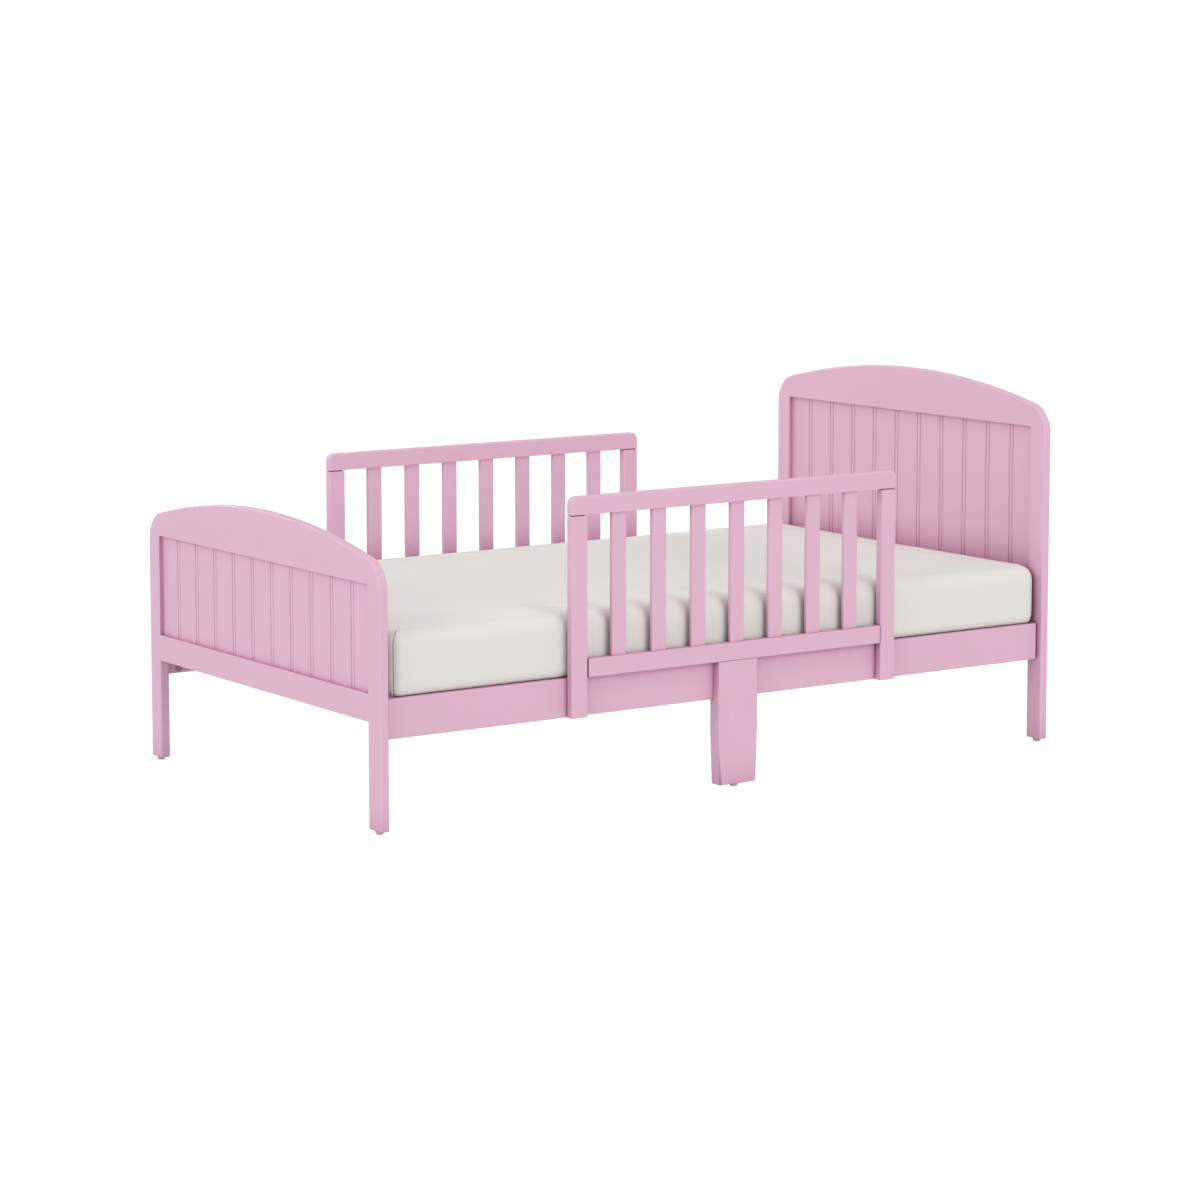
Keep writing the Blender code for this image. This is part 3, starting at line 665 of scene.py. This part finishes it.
class TODDLERBED_OT_end_frames(bpy.types.Operator):
    """Make the posts, arched rails and bottom rails of the headboard and footboard"""

    bl_idname = "toddler_bed.end_frames"
    bl_label = "End frames"

    def execute(self, context):
        sizes = context.scene.toddler_bed_frame
        for end_name in ENDS:
            self.make_posts(end_name, sizes)
            self.make_arch_rail(end_name, sizes)
            self.make_bottom_rail(end_name, sizes)
        return {"FINISHED"}

    def make_posts(self, end_name, sizes):
        rail_low, rail_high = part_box(f"{end_name}_bottom_rail")
        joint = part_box(f"{end_name}_arch_rail")[0].z - HAIRLINE
        for side_name, side in SIDES.items():
            node = f"{end_name}_post_{side_name}"
            low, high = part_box(node)
            inner = low.y if side > 0 else high.y
            bm = box_shape(low, (high.x, high.y, joint))
            mark_level(bm, rail_low.z)
            mark_level(bm, rail_high.z)

            def rounding(middle, run, inner=inner):
                if middle.z > joint - TOUCHING:
                    return 0.0
                on_inner = abs(middle.y - inner) < TOUCHING and abs(run.z) > 0.5
                if on_inner and rail_low.z < middle.z < rail_high.z:
                    return 0.0
                return sizes.fine_radius if on_inner or middle.z < low.z + TOUCHING else sizes.edge_radius

            lacquered(node, bm, UPRIGHT, rounding)

    def make_arch_rail(self, end_name, sizes):
        node = f"{end_name}_arch_rail"
        low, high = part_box(node)
        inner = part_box(f"{end_name}_post_far")[0].y
        window_top = self.window_top(end_name)
        shoulder = sizes.shoulder_radius
        shoulder_y = high.y - shoulder
        arch_z = high.z - sizes.arch_radius
        meet = math.atan2(low.z - arch_z, shoulder_y)
        outline = arc((shoulder_y, low.z), shoulder, 0.0, meet, 12)
        outline += arc((0.0, arch_z), sizes.arch_radius, meet, math.pi - meet, 64)[1:-1]
        outline += arc((-shoulder_y, low.z), shoulder, math.pi - meet, math.pi, 12)
        outline += [(-inner, low.z), (-inner, window_top), (inner, window_top), (inner, low.z)]
        bm = prism(outline, ALONG, low.x, high.x)

        def rounding(middle, run):
            if abs(run.x) > 0.5 or middle.z < low.z + TOUCHING:
                return 0.0
            in_window = abs(middle.y) < inner + TOUCHING and middle.z < window_top + TOUCHING
            return sizes.fine_radius if in_window else sizes.edge_radius

        lacquered(node, bm, ACROSS, rounding)

    @staticmethod
    def window_top(end_name):
        """The lower edge of the arched rail over the panel, whose top edge goes on up into a groove."""
        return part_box(f"{end_name}_panel")[1].z - PANEL_TONGUE

    def make_bottom_rail(self, end_name, sizes):
        node = f"{end_name}_bottom_rail"
        low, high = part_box(node)
        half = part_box(f"{end_name}_post_far")[0].y - HAIRLINE
        bm = box_shape((low.x, -half, low.z), (high.x, half, high.z))
        lacquered(node, bm, ACROSS, lambda middle, run: sizes.fine_radius if abs(run.y) > 0.5 else 0.0)


class TODDLERBED_OT_beadboards(bpy.types.Operator):
    """Make the two beadboard panels"""

    bl_idname = "toddler_bed.beadboards"
    bl_label = "Beadboard panels"

    def execute(self, context):
        sizes = context.scene.toddler_bed_beadboard
        tree = beadboard_tree()
        for end_name in ENDS:
            node = f"{end_name}_panel"
            low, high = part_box(node)
            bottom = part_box(f"{end_name}_bottom_rail")[1].z + HAIRLINE
            top = TODDLERBED_OT_end_frames.window_top(end_name) - HAIRLINE
            window = 2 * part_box(f"{end_name}_post_far")[0].y
            columns = int(window / sizes.step / 2) * 2
            values = {"Thickness": high.x - low.x, "Width": columns * sizes.step, "Height": top - bottom}
            values |= {"Pitch": sizes.pitch, "Beads": float(sizes.count), "Columns": columns + 1}
            values |= {"Bead_half_width": sizes.half_width, "Groove_half_width": sizes.groove_half}
            values |= {"Groove_depth": sizes.groove_depth, "Crown": sizes.crown}
            values |= {"Middle": ((low.x + high.x) / 2, 0.0, (bottom + top) / 2)}
            material = satin_lacquer(UPRIGHT)
            panel = grown(f"{node}_lacquered", helper(bmesh.new()), tree, **values, Material=material)
            panel.data.set_sharp_from_angle(angle=math.radians(20))
            fit(panel, "painted_wood", node)
        return {"FINISHED"}


class TODDLERBED_OT_side_rails(bpy.types.Operator):
    """Make the side rails, bored for their cam locks, and the ledgers along them"""

    bl_idname = "toddler_bed.side_rails"
    bl_label = "Side rails and ledgers"

    def execute(self, context):
        sizes = context.scene.toddler_bed_frame
        for side_name, side in SIDES.items():
            node = f"side_rail_{side_name}"
            low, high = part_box(node)
            inner = low.y if side > 0 else high.y
            bores = []
            for end_name in ENDS:
                cam_low, cam_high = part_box(f"cam_lock_{end_name}_{side_name}")
                middle = (cam_low + cam_high) / 2
                radius = (cam_high.x - cam_low.x) / 2 + CLEARANCE
                depth = cam_high.y - cam_low.y + 2 * CLEARANCE
                bore = turned([(0, -0.002), (radius, -0.002), (radius, depth), (0, depth)], 32)
                turn(bore, -math.pi / 2, "X")
                if side < 0:
                    turn(bore, math.pi, "Z")
                bmesh.ops.translate(bore, verts=bore.verts, vec=(middle.x, inner, middle.z))
                bores.append(bore)
            bm = carve(box_shape(low, high), bores)

            def rounding(middle, run, low=low, high=high):
                outside = [min(abs(m - a), abs(m - b)) < TOUCHING for m, a, b in zip(middle, low, high)]
                if sum(outside) != 2 or max(map(abs, run)) < 0.999:
                    return 0.0
                return sizes.rail_end_radius if abs(run[2]) > 0.999 else sizes.edge_radius * 0.85

            lacquered(node, bm, ALONG, rounding)
            node = f"slat_ledger_{side_name}"
            lacquered(node, box_shape(*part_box(node)), ALONG, lambda *_: sizes.fine_radius)
        return {"FINISHED"}


class TODDLERBED_OT_middle_legs(bpy.types.Operator):
    """Make the wide tapered legs in the middle of each side, notched over the side rail"""

    bl_idname = "toddler_bed.middle_legs"
    bl_label = "Middle legs"
    taper: length("Taper", "How much each side of the leg narrows to its foot", 0.0035)
    taper_height: length("Taper height", "Where the taper starts above the floor", 0.090)

    def execute(self, context):
        sizes = context.scene.toddler_bed_frame
        for side_name, side in SIDES.items():
            node = f"middle_leg_{side_name}"
            low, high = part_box(node)
            rail_low, rail_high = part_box(f"side_rail_{side_name}")
            outer, inner = (high.y, low.y) if side > 0 else (low.y, high.y)
            tongue = (rail_high.y if side > 0 else rail_low.y) + side * CLEARANCE
            shelf = rail_low.z - CLEARANCE
            outline = [(outer, low.z), (outer, high.z), (tongue, high.z), (tongue, shelf)]
            bm = prism(outline + [(inner, shelf), (inner, low.z)], ALONG, low.x, high.x)
            mark_level(bm, self.taper_height)
            for vert in bm.verts:
                if vert.co.z < low.z + TOUCHING:
                    vert.co.x -= math.copysign(self.taper, vert.co.x)
            bmesh.ops.recalc_face_normals(bm, faces=bm.faces)

            def rounding(middle, run, outer=outer, inner=inner, low=low, high=high):
                if middle.z > high.z - TOUCHING:
                    return 0.0
                if abs(middle.y - outer) < TOUCHING:
                    return sizes.edge_radius if middle.z > low.z + TOUCHING else sizes.fine_radius
                if abs(middle.y - inner) < TOUCHING:
                    return sizes.fine_radius
                return 0.0

            lacquered(node, bm, UPRIGHT, rounding)
        return {"FINISHED"}


class TODDLERBED_OT_glides(bpy.types.Operator):
    """Make the moulded glides under the legs"""

    bl_idname = "toddler_bed.glides"
    bl_label = "Glides"

    def execute(self, context):
        for place, ends in {"ends": ("foot", "head"), "middle": ("middle", "middle")}.items():
            low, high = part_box(f"glide_{ends[0]}_near")
            radius, height = (high.x - low.x) / 2, high.z - low.z
            # A domed sole, a straight wall and a thin flange under the leg
            profile = [(0, 0), (radius * 0.55, 0), (radius * 0.78, 0.0004), (radius * 0.9, 0.0014)]
            profile += [(radius * 0.92, height - 0.0016), (radius, height - 0.0013)]
            profile += [(radius, height - 0.0002), (radius * 0.95, height), (0, height)]
            first, last = centre_of(f"glide_{ends[0]}_near"), centre_of(f"glide_{ends[1]}_far")
            nodes = [f"glide_{end}_{side}" for end in dict.fromkeys(ends) for side in SIDES]
            along, across = (len(set(ends)), last.x - first.x), (2, last.y - first.y)
            drawing = helper(turned(profile, 24))
            glides = set_out(f"glides_{place}", drawing, moulded_nylon(), along, across, low.z, 40)
            fit(glides, "glide_plastic", *nodes)
        return {"FINISHED"}


class TODDLERBED_OT_slats(bpy.types.Operator):
    """Make the bed slats, the beam under their middle and the screws that hold the slats down"""

    bl_idname = "toddler_bed.slats"
    bl_label = "Bed slats and beam"
    arris: length("Arris", "Rounding of the slats' edges", 0.002)
    beam_arris: length("Beam arris", "Rounding of the beam's edges", 0.0015)
    screw_inset: length("Screw inset", "From a slat's end to its screw", 0.011)
    screw_spread: length("Screw spread", "Between the two screws at a slat's end", 0.034)

    def execute(self, context):
        low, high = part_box("bed_slat_1")
        count = max(int(n.split("_")[-1]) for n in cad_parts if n.startswith("bed_slat_"))
        last = centre_of(f"bed_slat_{count}")
        first = (low + high) / 2
        size = high - low
        board = box_shape(-size / 2, size / 2)
        drawing = sand("bed_slat", board, planed_pine(), lambda *_: self.arris)
        spread = last.x - first.x
        slats = set_out("bed_slats", drawing, planed_pine(), (count, spread), (1, 0.0), first.z)
        fit(slats, "bare_wood", *[f"bed_slat_{i + 1}" for i in range(count)])
        self.make_beam()
        self.make_screws(count, spread, high)
        return {"FINISHED"}

    def make_beam(self):
        low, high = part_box("centre_beam")
        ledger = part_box("slat_ledger_far")[0]
        under, shoulder = ledger.z - CLEARANCE, ledger.y - CLEARANCE
        outline = [(-high.y, low.z), (high.y, low.z), (high.y, under), (shoulder, under), (shoulder, high.z)]
        outline += [(-shoulder, high.z), (-shoulder, under), (-high.y, under)]
        bm = prism(outline, ALONG, low.x, high.x)

        def rounding(middle, run):
            return self.beam_arris if abs(run.x) < 0.5 else 0.0

        beam = sand("centre_beam_bare", bm, planed_pine(), rounding)
        fit(beam, "bare_wood", "centre_beam")

    def make_screws(self, count, spread, slat_high):
        """Countersunk heads with a cross recess, flush with the slats' tops."""
        head, depth = 0.0036, 0.0024
        profile = [(0, -depth), (0.0012, -depth), (head, -0.0003), (head, 0.0001)]
        profile += [(head * 0.85, 0.0004), (0, 0.0005)]
        one = carve(turned(profile, 16), cross(0.0021, 0.0021, 0.00045, -0.0012))
        pair = bmesh.new()
        mesh = bpy.data.meshes.new("screw")
        one.to_mesh(mesh)
        one.free()
        for x in (-self.screw_spread / 2, self.screw_spread / 2):
            start = len(pair.verts)
            pair.from_mesh(mesh)
            pair.verts.ensure_lookup_table()
            bmesh.ops.translate(pair, verts=pair.verts[start:], vec=(x, 0, 0))
        along, across = (count, spread), (2, 2 * (slat_high.y - self.screw_inset))
        height = slat_high.z - 0.0001
        screws = set_out("slat_screws", helper(pair), plated_steel(), along, across, height, 35)
        fit(screws, None)


class TODDLERBED_OT_cam_locks(bpy.types.Operator):
    """Make the cam locks that draw the side rails to the posts, and the bolts that hold the guard rails"""

    bl_idname = "toddler_bed.cam_locks"
    bl_label = "Cam locks and bolts"
    bolt_height: length("Bolt height", "From a side rail's lower edge to its guard bolts", 0.014)

    def execute(self, context):
        low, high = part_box("cam_lock_foot_near")
        radius, depth = (high.x - low.x) / 2, 0.006
        # Drawn facing +Y, as on the near rail: a chamfered disc, a raised ring and a cross recess, sunk in
        sunk = 0.0015
        profile = [(0, -depth), (radius, -depth), (radius, -sunk - 0.0005), (radius - 0.0005, -sunk)]
        profile += [(radius * 0.8, -sunk), (radius * 0.74, -sunk - 0.0006), (0, -sunk - 0.0006)]
        cam = carve(turned(profile, 32), cross(0.0043, 0.0034, 0.0009, -0.0045))
        turn(cam, -math.pi / 2, "X")
        first, last = centre_of("cam_lock_foot_near"), centre_of("cam_lock_head_far")
        along, across = (2, last.x - first.x), (2, 2 * abs(high.y))
        cams = set_out("cam_locks", helper(cam), sprayed_zinc(), along, across, first.z, 30)
        fit(cams, "cam_zinc", *[f"cam_lock_{end}_{side}" for end in ENDS for side in SIDES])
        self.make_guard_bolts()
        return {"FINISHED"}

    def make_guard_bolts(self):
        """Button-head bolts through the side rails into the guard posts."""
        head, rise = 0.0058, 0.0032
        profile = [(0, 0), (head, 0), (head, 0.0008), (head * 0.93, 0.0018)]
        profile += [(head * 0.7, rise * 0.93), (head * 0.45, rise)]
        hexagon = turned([(0, 0.0008), (0.0021, 0.0008), (0.0021, 0.01), (0, 0.01)], 6)
        bolt = carve(turned(profile + [(0, rise)], 24), [hexagon])
        turn(bolt, -math.pi / 2, "X")
        first, last = centre_of("guard_near_post_foot"), centre_of("guard_near_post_head")
        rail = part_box("side_rail_far")[0]
        along, across = (2, last.x - first.x), (2, 2 * (rail.y - HAIRLINE))
        height = rail.z + self.bolt_height
        bolts = set_out("guard_bolts", helper(bolt), plated_steel(), along, across, height, 30)
        fit(bolts, None)


class TODDLERBED_OT_guards(bpy.types.Operator):
    """Make the two guard rails with their posts and slats"""

    bl_idname = "toddler_bed.guards"
    bl_label = "Guard rails"
    sunk: length("Sunk", "How far the blocks in the open joints lie under the posts' faces", 0.0058)
    slat_edge: length("Slat edge", "Rounding of the slats' upright edges", 0.0025)

    def execute(self, context):
        sizes = context.scene.toddler_bed_frame
        for side_name in SIDES:
            name = f"guard_{side_name}"
            self.make_top_rail(f"{name}_top_rail", sizes)
            self.make_bottom_rail(name, sizes)
            for end_name in ENDS:
                self.make_post(name, end_name, sizes)
        self.make_slats()
        return {"FINISHED"}

    def make_top_rail(self, node, sizes):
        low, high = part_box(node)
        corner = (high.x - sizes.guard_corner, high.z - sizes.guard_corner)
        outline = arc(corner, sizes.guard_corner, 0.0, math.pi / 2, 12)
        outline += arc((-corner[0], corner[1]), sizes.guard_corner, math.pi / 2, math.pi, 12)
        outline += [(low.x, low.z), (high.x, low.z)]
        bm = prism(outline, ACROSS, low.y, high.y)

        def rounding(middle, run):
            if abs(run.y) > 0.5:
                return sizes.fine_radius
            return sizes.slit_radius if middle.z < low.z + TOUCHING else sizes.edge_radius

        lacquered(node, bm, ALONG, rounding)

    def make_bottom_rail(self, name, sizes):
        node = f"{name}_bottom_rail"
        low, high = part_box(node)
        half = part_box(f"{name}_post_head")[0].x - sizes.reveal
        bm = box_shape((-half, low.y, low.z), (half, high.y, high.z))

        def rounding(middle, run):
            return sizes.fine_radius if abs(run.x) > 0.5 else sizes.slit_radius

        lacquered(node, bm, ALONG, rounding)

    def make_post(self, name, end_name, sizes):
        """A post with the blocks that show dark in its two open joints."""
        node = f"{name}_post_{end_name}"
        low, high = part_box(node)
        rail_low, rail_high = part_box(f"{name}_bottom_rail")
        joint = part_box(f"{name}_top_rail")[0].z
        top = joint - sizes.reveal
        bm = box_shape(low, (high.x, high.y, top))
        outer, inner = (low.x, high.x) if end_name == "foot" else (high.x, low.x)
        toward = -ENDS[end_name]
        y_low, y_high = low.y + self.sunk, high.y - self.sunk
        # The block in the top joint is all but flush with the post's end, and sunk under its other faces
        start, end = outer + toward * 0.0002, inner - toward * self.sunk
        add_box(bm, (start, y_low, top + HAIRLINE), (end, y_high, joint - HAIRLINE))
        start, end = inner + toward * HAIRLINE, inner + toward * (sizes.reveal - HAIRLINE)
        add_box(bm, (start, y_low, rail_low.z + 0.002), (end, y_high, rail_high.z - 0.002))

        def rounding(middle, run):
            into_joint = toward * (middle.x - inner)
            if middle.z > top + TOUCHING or 1e-5 < into_joint < sizes.reveal - 1e-5:
                return 0.0
            if abs(run.z) > 0.5:
                return sizes.edge_radius
            return sizes.slit_radius if middle.z > top - TOUCHING else sizes.fine_radius

        lacquered(node, bm, UPRIGHT, rounding)

    def make_slats(self):
        names = [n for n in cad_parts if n.startswith("guard_") and "_slat_" in n]
        count = len(names) // 2
        low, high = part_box("guard_near_slat_1")
        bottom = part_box("guard_near_bottom_rail")[1].z + HAIRLINE
        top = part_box("guard_near_top_rail")[0].z - HAIRLINE
        half = Vector((high.x - low.x, high.y - low.y, top - bottom)) / 2
        first, last = centre_of("guard_near_slat_1"), centre_of(f"guard_far_slat_{count}")

        def rounding(middle, run):
            return self.slat_edge if abs(run.z) > 0.5 else 0.0

        material = satin_lacquer(UPRIGHT)
        drawing = sand("guard_slat", box_shape(-half, half), material, rounding)
        along, across = (count, last.x - first.x), (2, last.y - first.y)
        slats = set_out("guard_slats", drawing, material, along, across, (bottom + top) / 2)
        fit(slats, "painted_wood", *names)


class TODDLERBED_OT_mattress(bpy.types.Operator):
    """Make the mattress: a soft-edged cover filled as cloth, with a stitched seam down each corner"""

    bl_idname = "toddler_bed.mattress"
    bl_label = "Mattress"
    step: length("Cloth step", "Size of the cover's cells", 0.012)
    swelling: length("Allowance", "How much smaller the cover is before it is filled", 0.0045)
    bulge: length("Bulge", "How far the sides stand out past the mattress's own size", 0.001)
    sag: length("Sag", "How much of the filling's round underside is pressed flat", 0.0125)
    crown: length("Crown", "How far the top rises to its middle", 0.003)
    corner: length("Corner radius", "Rounding of the cover's four upright corners", 0.008)

    def execute(self, context):
        sizes = context.scene.toddler_bed_mattress
        low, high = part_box("mattress")
        half = (high - low) / 2
        middle = (high + low) / 2
        start = half - Vector((self.swelling,) * 3)
        cover = helper(self.draw_cover(start, sizes.edge, middle), "mattress")
        self.fill(cover, sizes)
        self.shape(cover, low, high)
        smooth = cover.modifiers.new("Cover", "SUBSURF")
        smooth.levels = smooth.render_levels = 1
        mattress = settle(cover, "mattress_cover")
        mattress.data.shade_smooth()
        mattress.data.materials.clear()
        mattress.data.materials.append(knitted_ticking(middle, half, sizes.edge))
        fit(mattress, "mattress_cover", "mattress", body="mattress")
        self.sew(mattress, half, middle, sizes)
        return {"FINISHED"}

    def draw_cover(self, half, radius, middle):
        """A box with round edges, drawn in even cells with four more round each edge."""
        flat = half - Vector((radius,) * 3)
        places = []
        for axis in range(3):
            count = max(2, round(2 * flat[axis] / self.step))
            ends = [flat[axis] + radius * math.tan(math.radians(a)) for a in (15, 30, 45)]
            middle_part = list(np.linspace(-flat[axis], flat[axis], count + 1))
            places.append([-e for e in reversed(ends)] + middle_part + ends)
        bm = bmesh.new()
        for axis in range(3):
            first, second = [i for i in range(3) if i != axis]
            for side in (-1, 1):
                rows = []
                for a in places[first]:
                    row = []
                    for b in places[second]:
                        point = Vector((0.0, 0.0, 0.0))
                        point[axis], point[first], point[second] = side * half[axis], a, b
                        core = Vector([max(-flat[i], min(flat[i], point[i])) for i in range(3)])
                        row.append(bm.verts.new(core + (point - core).normalized() * radius + middle))
                    rows.append(row)
                for lower, upper in zip(rows, rows[1:]):
                    for i in range(len(lower) - 1):
                        bm.faces.new((lower[i], lower[i + 1], upper[i + 1], upper[i]))
        bmesh.ops.remove_doubles(bm, verts=bm.verts, dist=1e-5)
        bmesh.ops.recalc_face_normals(bm, faces=bm.faces)
        return bm

    def fill(self, cover, sizes):
        """Blows the cover up as cloth, and caps how far each point moves."""
        scene = bpy.context.scene
        before = self.points(cover.data)
        cloth = cover.modifiers.new("Filling", "CLOTH")
        cloth.settings.quality = 5
        cloth.settings.use_pressure = True
        cloth.settings.uniform_pressure_force = sizes.pressure
        cloth.settings.effector_weights.gravity = 0.0
        cloth.point_cache.frame_start, cloth.point_cache.frame_end = 1, FILLING_FRAMES
        for step in range(1, FILLING_FRAMES + 1):
            scene.frame_set(step)
        evaluated = cover.evaluated_get(bpy.context.evaluated_depsgraph_get())
        moves = self.points(evaluated.data) - before
        cover.modifiers.remove(cloth)
        scene.frame_set(1)
        far = np.linalg.norm(moves, axis=1, keepdims=True)
        moves *= np.minimum(1.0, sizes.most_move / np.maximum(far, 1e-9))
        cover.data.vertices.foreach_set("co", (before + moves).astype(np.float32).ravel())
        cover.data.update()

    def shape(self, cover, low, high):
        """Lays the filled cover flat on the slats, fits it between the boards and crowns its top."""
        points = self.points(cover.data)
        middle = np.array((low + high) / 2)
        half = np.array((high - low) / 2)
        # Filling draws the sides in, so the cover is let out again to its cut size and a little bulge
        reach = np.abs(points - middle).max(axis=0)
        points = middle + (points - middle) * (half + (self.bulge, self.bulge, 0.0)) / reach
        # The upright corners are rounded as far as the corner radius
        into = np.abs(points[:, :2] - middle[:2]) - (half[:2] - self.corner)
        both = (into > 0).all(axis=1)
        rounder = into[both].max(axis=1) / np.linalg.norm(into[both], axis=1)
        into[both] *= (0.2 + 0.8 * rounder)[:, None]
        moved = np.sign(points[:, :2] - middle[:2]) * (into + half[:2] - self.corner)
        points[both, :2] = middle[:2] + moved[both]
        # Its weight presses the lowest part of the filling flat
        height = 2 * half[2]
        points[:, 2] = low.z + (points[:, 2] - low.z - self.sag) * height / (height - self.sag)
        points[:, 2] = np.maximum(points[:, 2], low.z)
        share = np.clip((points - middle) / half, -1.0, 1.0)
        crown = (1 - share[:, 0] ** 4) * (1 - share[:, 1] ** 4)
        points[:, 2] += self.crown * np.clip(share[:, 2], 0.0, 1.0) * crown
        cover.data.vertices.foreach_set("co", points.astype(np.float32).ravel())
        cover.data.update()

    @staticmethod
    def points(mesh):
        places = np.empty(len(mesh.vertices) * 3, np.float32)
        mesh.vertices.foreach_get("co", places)
        return places.reshape(-1, 3).astype(float)

    def sew(self, mattress, half, middle, sizes):
        """Stitches down each corner, found by looking in at the cover from outside."""
        surface = BVHTree.FromObject(mattress, bpy.context.evaluated_depsgraph_get())
        lines = bmesh.new()
        reach = half.z * SEAM_SHARE
        for x, y in ((-1, -1), (-1, 1), (1, -1), (1, 1)):
            inward = Vector((-x, -y, 0.0)).normalized()
            last = None
            for height in np.linspace(middle.z - reach, middle.z + reach, SEAM_POINTS):
                core = Vector((middle.x + x * (half.x - sizes.edge), y * (half.y - sizes.edge), height))
                hit = surface.ray_cast(core - inward * 0.1, inward)[0]
                if hit is None:
                    raise RuntimeError("a corner seam missed the mattress")
                vert = lines.verts.new(hit)
                if last:
                    lines.edges.new((last, vert))
                last = vert
        values = {"Stitch": sizes.stitch, "Thread_radius": sizes.thread_radius, "Material": spun_thread()}
        fit(grown("mattress_stitches", helper(lines), stitch_tree(), **values), None, body="mattress")


class TODDLERBED_OT_stage(bpy.types.Operator):
    """Make the pale floor, the soft light and the camera"""

    bl_idname = "toddler_bed.stage"
    bl_label = "Stage"

    def execute(self, context):
        sizes = context.scene.toddler_bed_stage
        self.make_floor(sizes)
        self.make_light(context.scene, sizes)
        self.make_camera(context.scene, sizes)
        return {"FINISHED"}

    def make_floor(self, sizes):
        bm = bmesh.new()
        bmesh.ops.create_grid(bm, x_segments=1, y_segments=1, size=FLOOR_SIZE)
        bmesh.ops.translate(bm, verts=bm.verts, vec=(0, 0, -0.0005))
        floor = helper(bm, "floor")
        material, tree, shader, place = start_material("studio_paper")
        tone = remap(tree, noise(tree, place, 3.0, 2.0), 0.3, 0.7, 0.99, 1.0)
        tint = blend(tree, 1.0, (*sizes.floor, 1.0), tone, blend_type="MULTIPLY")
        tree.links.new(tint, shader.inputs["Base Color"])
        shader.inputs["Roughness"].default_value = 0.9
        shader.inputs["Specular IOR Level"].default_value = 0.1
        lit = put(tree, "ShaderNodeEmission", {"Strength": self.seen_or_light(tree, sizes.sky, sizes.bounce)})
        both = put(tree, "ShaderNodeMixShader", {0: sizes.glow, 1: shader.outputs[0], 2: lit.outputs[0]})
        put(tree, "ShaderNodeOutputMaterial", {"Surface": both.outputs[0]}).is_active_output = True
        material.cycles.emission_sampling = "NONE"
        floor.data.materials.append(material)

    @staticmethod
    def seen_or_light(tree, seen, light):
        """How bright a surface is to look at, and the lower brightness at which it lights the bed."""
        looked_at = put(tree, "ShaderNodeLightPath").outputs["Is Camera Ray"]
        return remap(tree, looked_at, 0.0, 1.0, light, seen)

    def make_light(self, scene, sizes):
        world = bpy.data.worlds.new("white_room")
        world.use_nodes = True
        tree = world.node_tree
        tree.nodes.clear()
        strength = self.seen_or_light(tree, sizes.sky, sizes.room)
        white = put(tree, "ShaderNodeBackground", {"Color": (1, 1, 1, 1), "Strength": strength})
        put(tree, "ShaderNodeOutputWorld", {"Surface": white.outputs[0]})
        scene.world = world
        scene.view_settings.view_transform = "Standard"
        # Four wide soft lights stand round the bed, a little above it, and a weak one hangs over it
        angles = [math.radians(LAMPS_TURN + 90 * k) for k in range(4)]
        places = [(LAMPS_AWAY * math.cos(a), LAMPS_AWAY * math.sin(a), LAMPS_HEIGHT) for a in angles]
        lamps = [(place, sizes.lamps) for place in places] + [((0.0, 0.0, TOP_LAMP_HEIGHT), sizes.top)]
        for place, power in lamps:
            light = bpy.data.lights.new("soft_light", "AREA")
            light.shape = "DISK"
            light.size = LAMP_WIDTH
            light.energy = power
            lamp = bpy.data.objects.new("soft_light", light)
            lamp.location = place
            lamp.rotation_euler = (Vector((0, 0, 0.3)) - lamp.location).to_track_quat("-Z", "Y").to_euler()
            lamp.visible_camera = False
            scene.collection.objects.link(lamp)

    def make_camera(self, scene, sizes):
        lens = bpy.data.cameras.new("camera")
        lens.lens = sizes.focal
        lens.sensor_width = 36.0
        lens.shift_y = -0.1
        lens.clip_end = 200.0
        camera = bpy.data.objects.new("camera", lens)
        camera.location = CAMERA_PLACE
        camera.rotation_euler = (math.pi / 2 - CAMERA_DOWN, 0.0, CAMERA_TURN)
        scene.collection.objects.link(camera)
        scene.camera = camera


PIECES = (
    TODDLERBED_OT_end_frames,
    TODDLERBED_OT_beadboards,
    TODDLERBED_OT_side_rails,
    TODDLERBED_OT_middle_legs,
    TODDLERBED_OT_glides,
    TODDLERBED_OT_slats,
    TODDLERBED_OT_cam_locks,
    TODDLERBED_OT_guards,
    TODDLERBED_OT_mattress,
    TODDLERBED_OT_stage,
)
SETTINGS = {
    "toddler_bed_frame": ToddlerBedFrame,
    "toddler_bed_beadboard": ToddlerBedBeadboard,
    "toddler_bed_mattress": ToddlerBedMattress,
    "toddler_bed_stage": ToddlerBedStage,
}


class TODDLERBED_PT_panel(bpy.types.Panel):
    """The bed's sizes, colours and pieces"""

    bl_idname = "TODDLERBED_PT_panel"
    bl_label = "Toddler bed"
    bl_space_type = "VIEW_3D"
    bl_region_type = "UI"
    bl_category = "Toddler bed"

    def draw(self, context):
        for name, group in SETTINGS.items():
            box = self.layout.box()
            box.label(text=name.replace("_", " ").capitalize())
            for key in group.__annotations__:
                box.prop(getattr(context.scene, name), key)
        for piece in PIECES:
            self.layout.operator(piece.bl_idname)


CLASSES = (*SETTINGS.values(), *PIECES, TODDLERBED_PT_panel)


def register():
    for cls in CLASSES:
        bpy.utils.register_class(cls)
    for name, group in SETTINGS.items():
        setattr(bpy.types.Scene, name, bpy.props.PointerProperty(type=group))


def unregister():
    for name in SETTINGS:
        delattr(bpy.types.Scene, name)
    for cls in reversed(CLASSES):
        bpy.utils.unregister_class(cls)


def main():
    register()
    for piece in PIECES:
        module, name = piece.bl_idname.split(".")
        getattr(getattr(bpy.ops, module), name)()


if __name__ == "__main__":
    main()
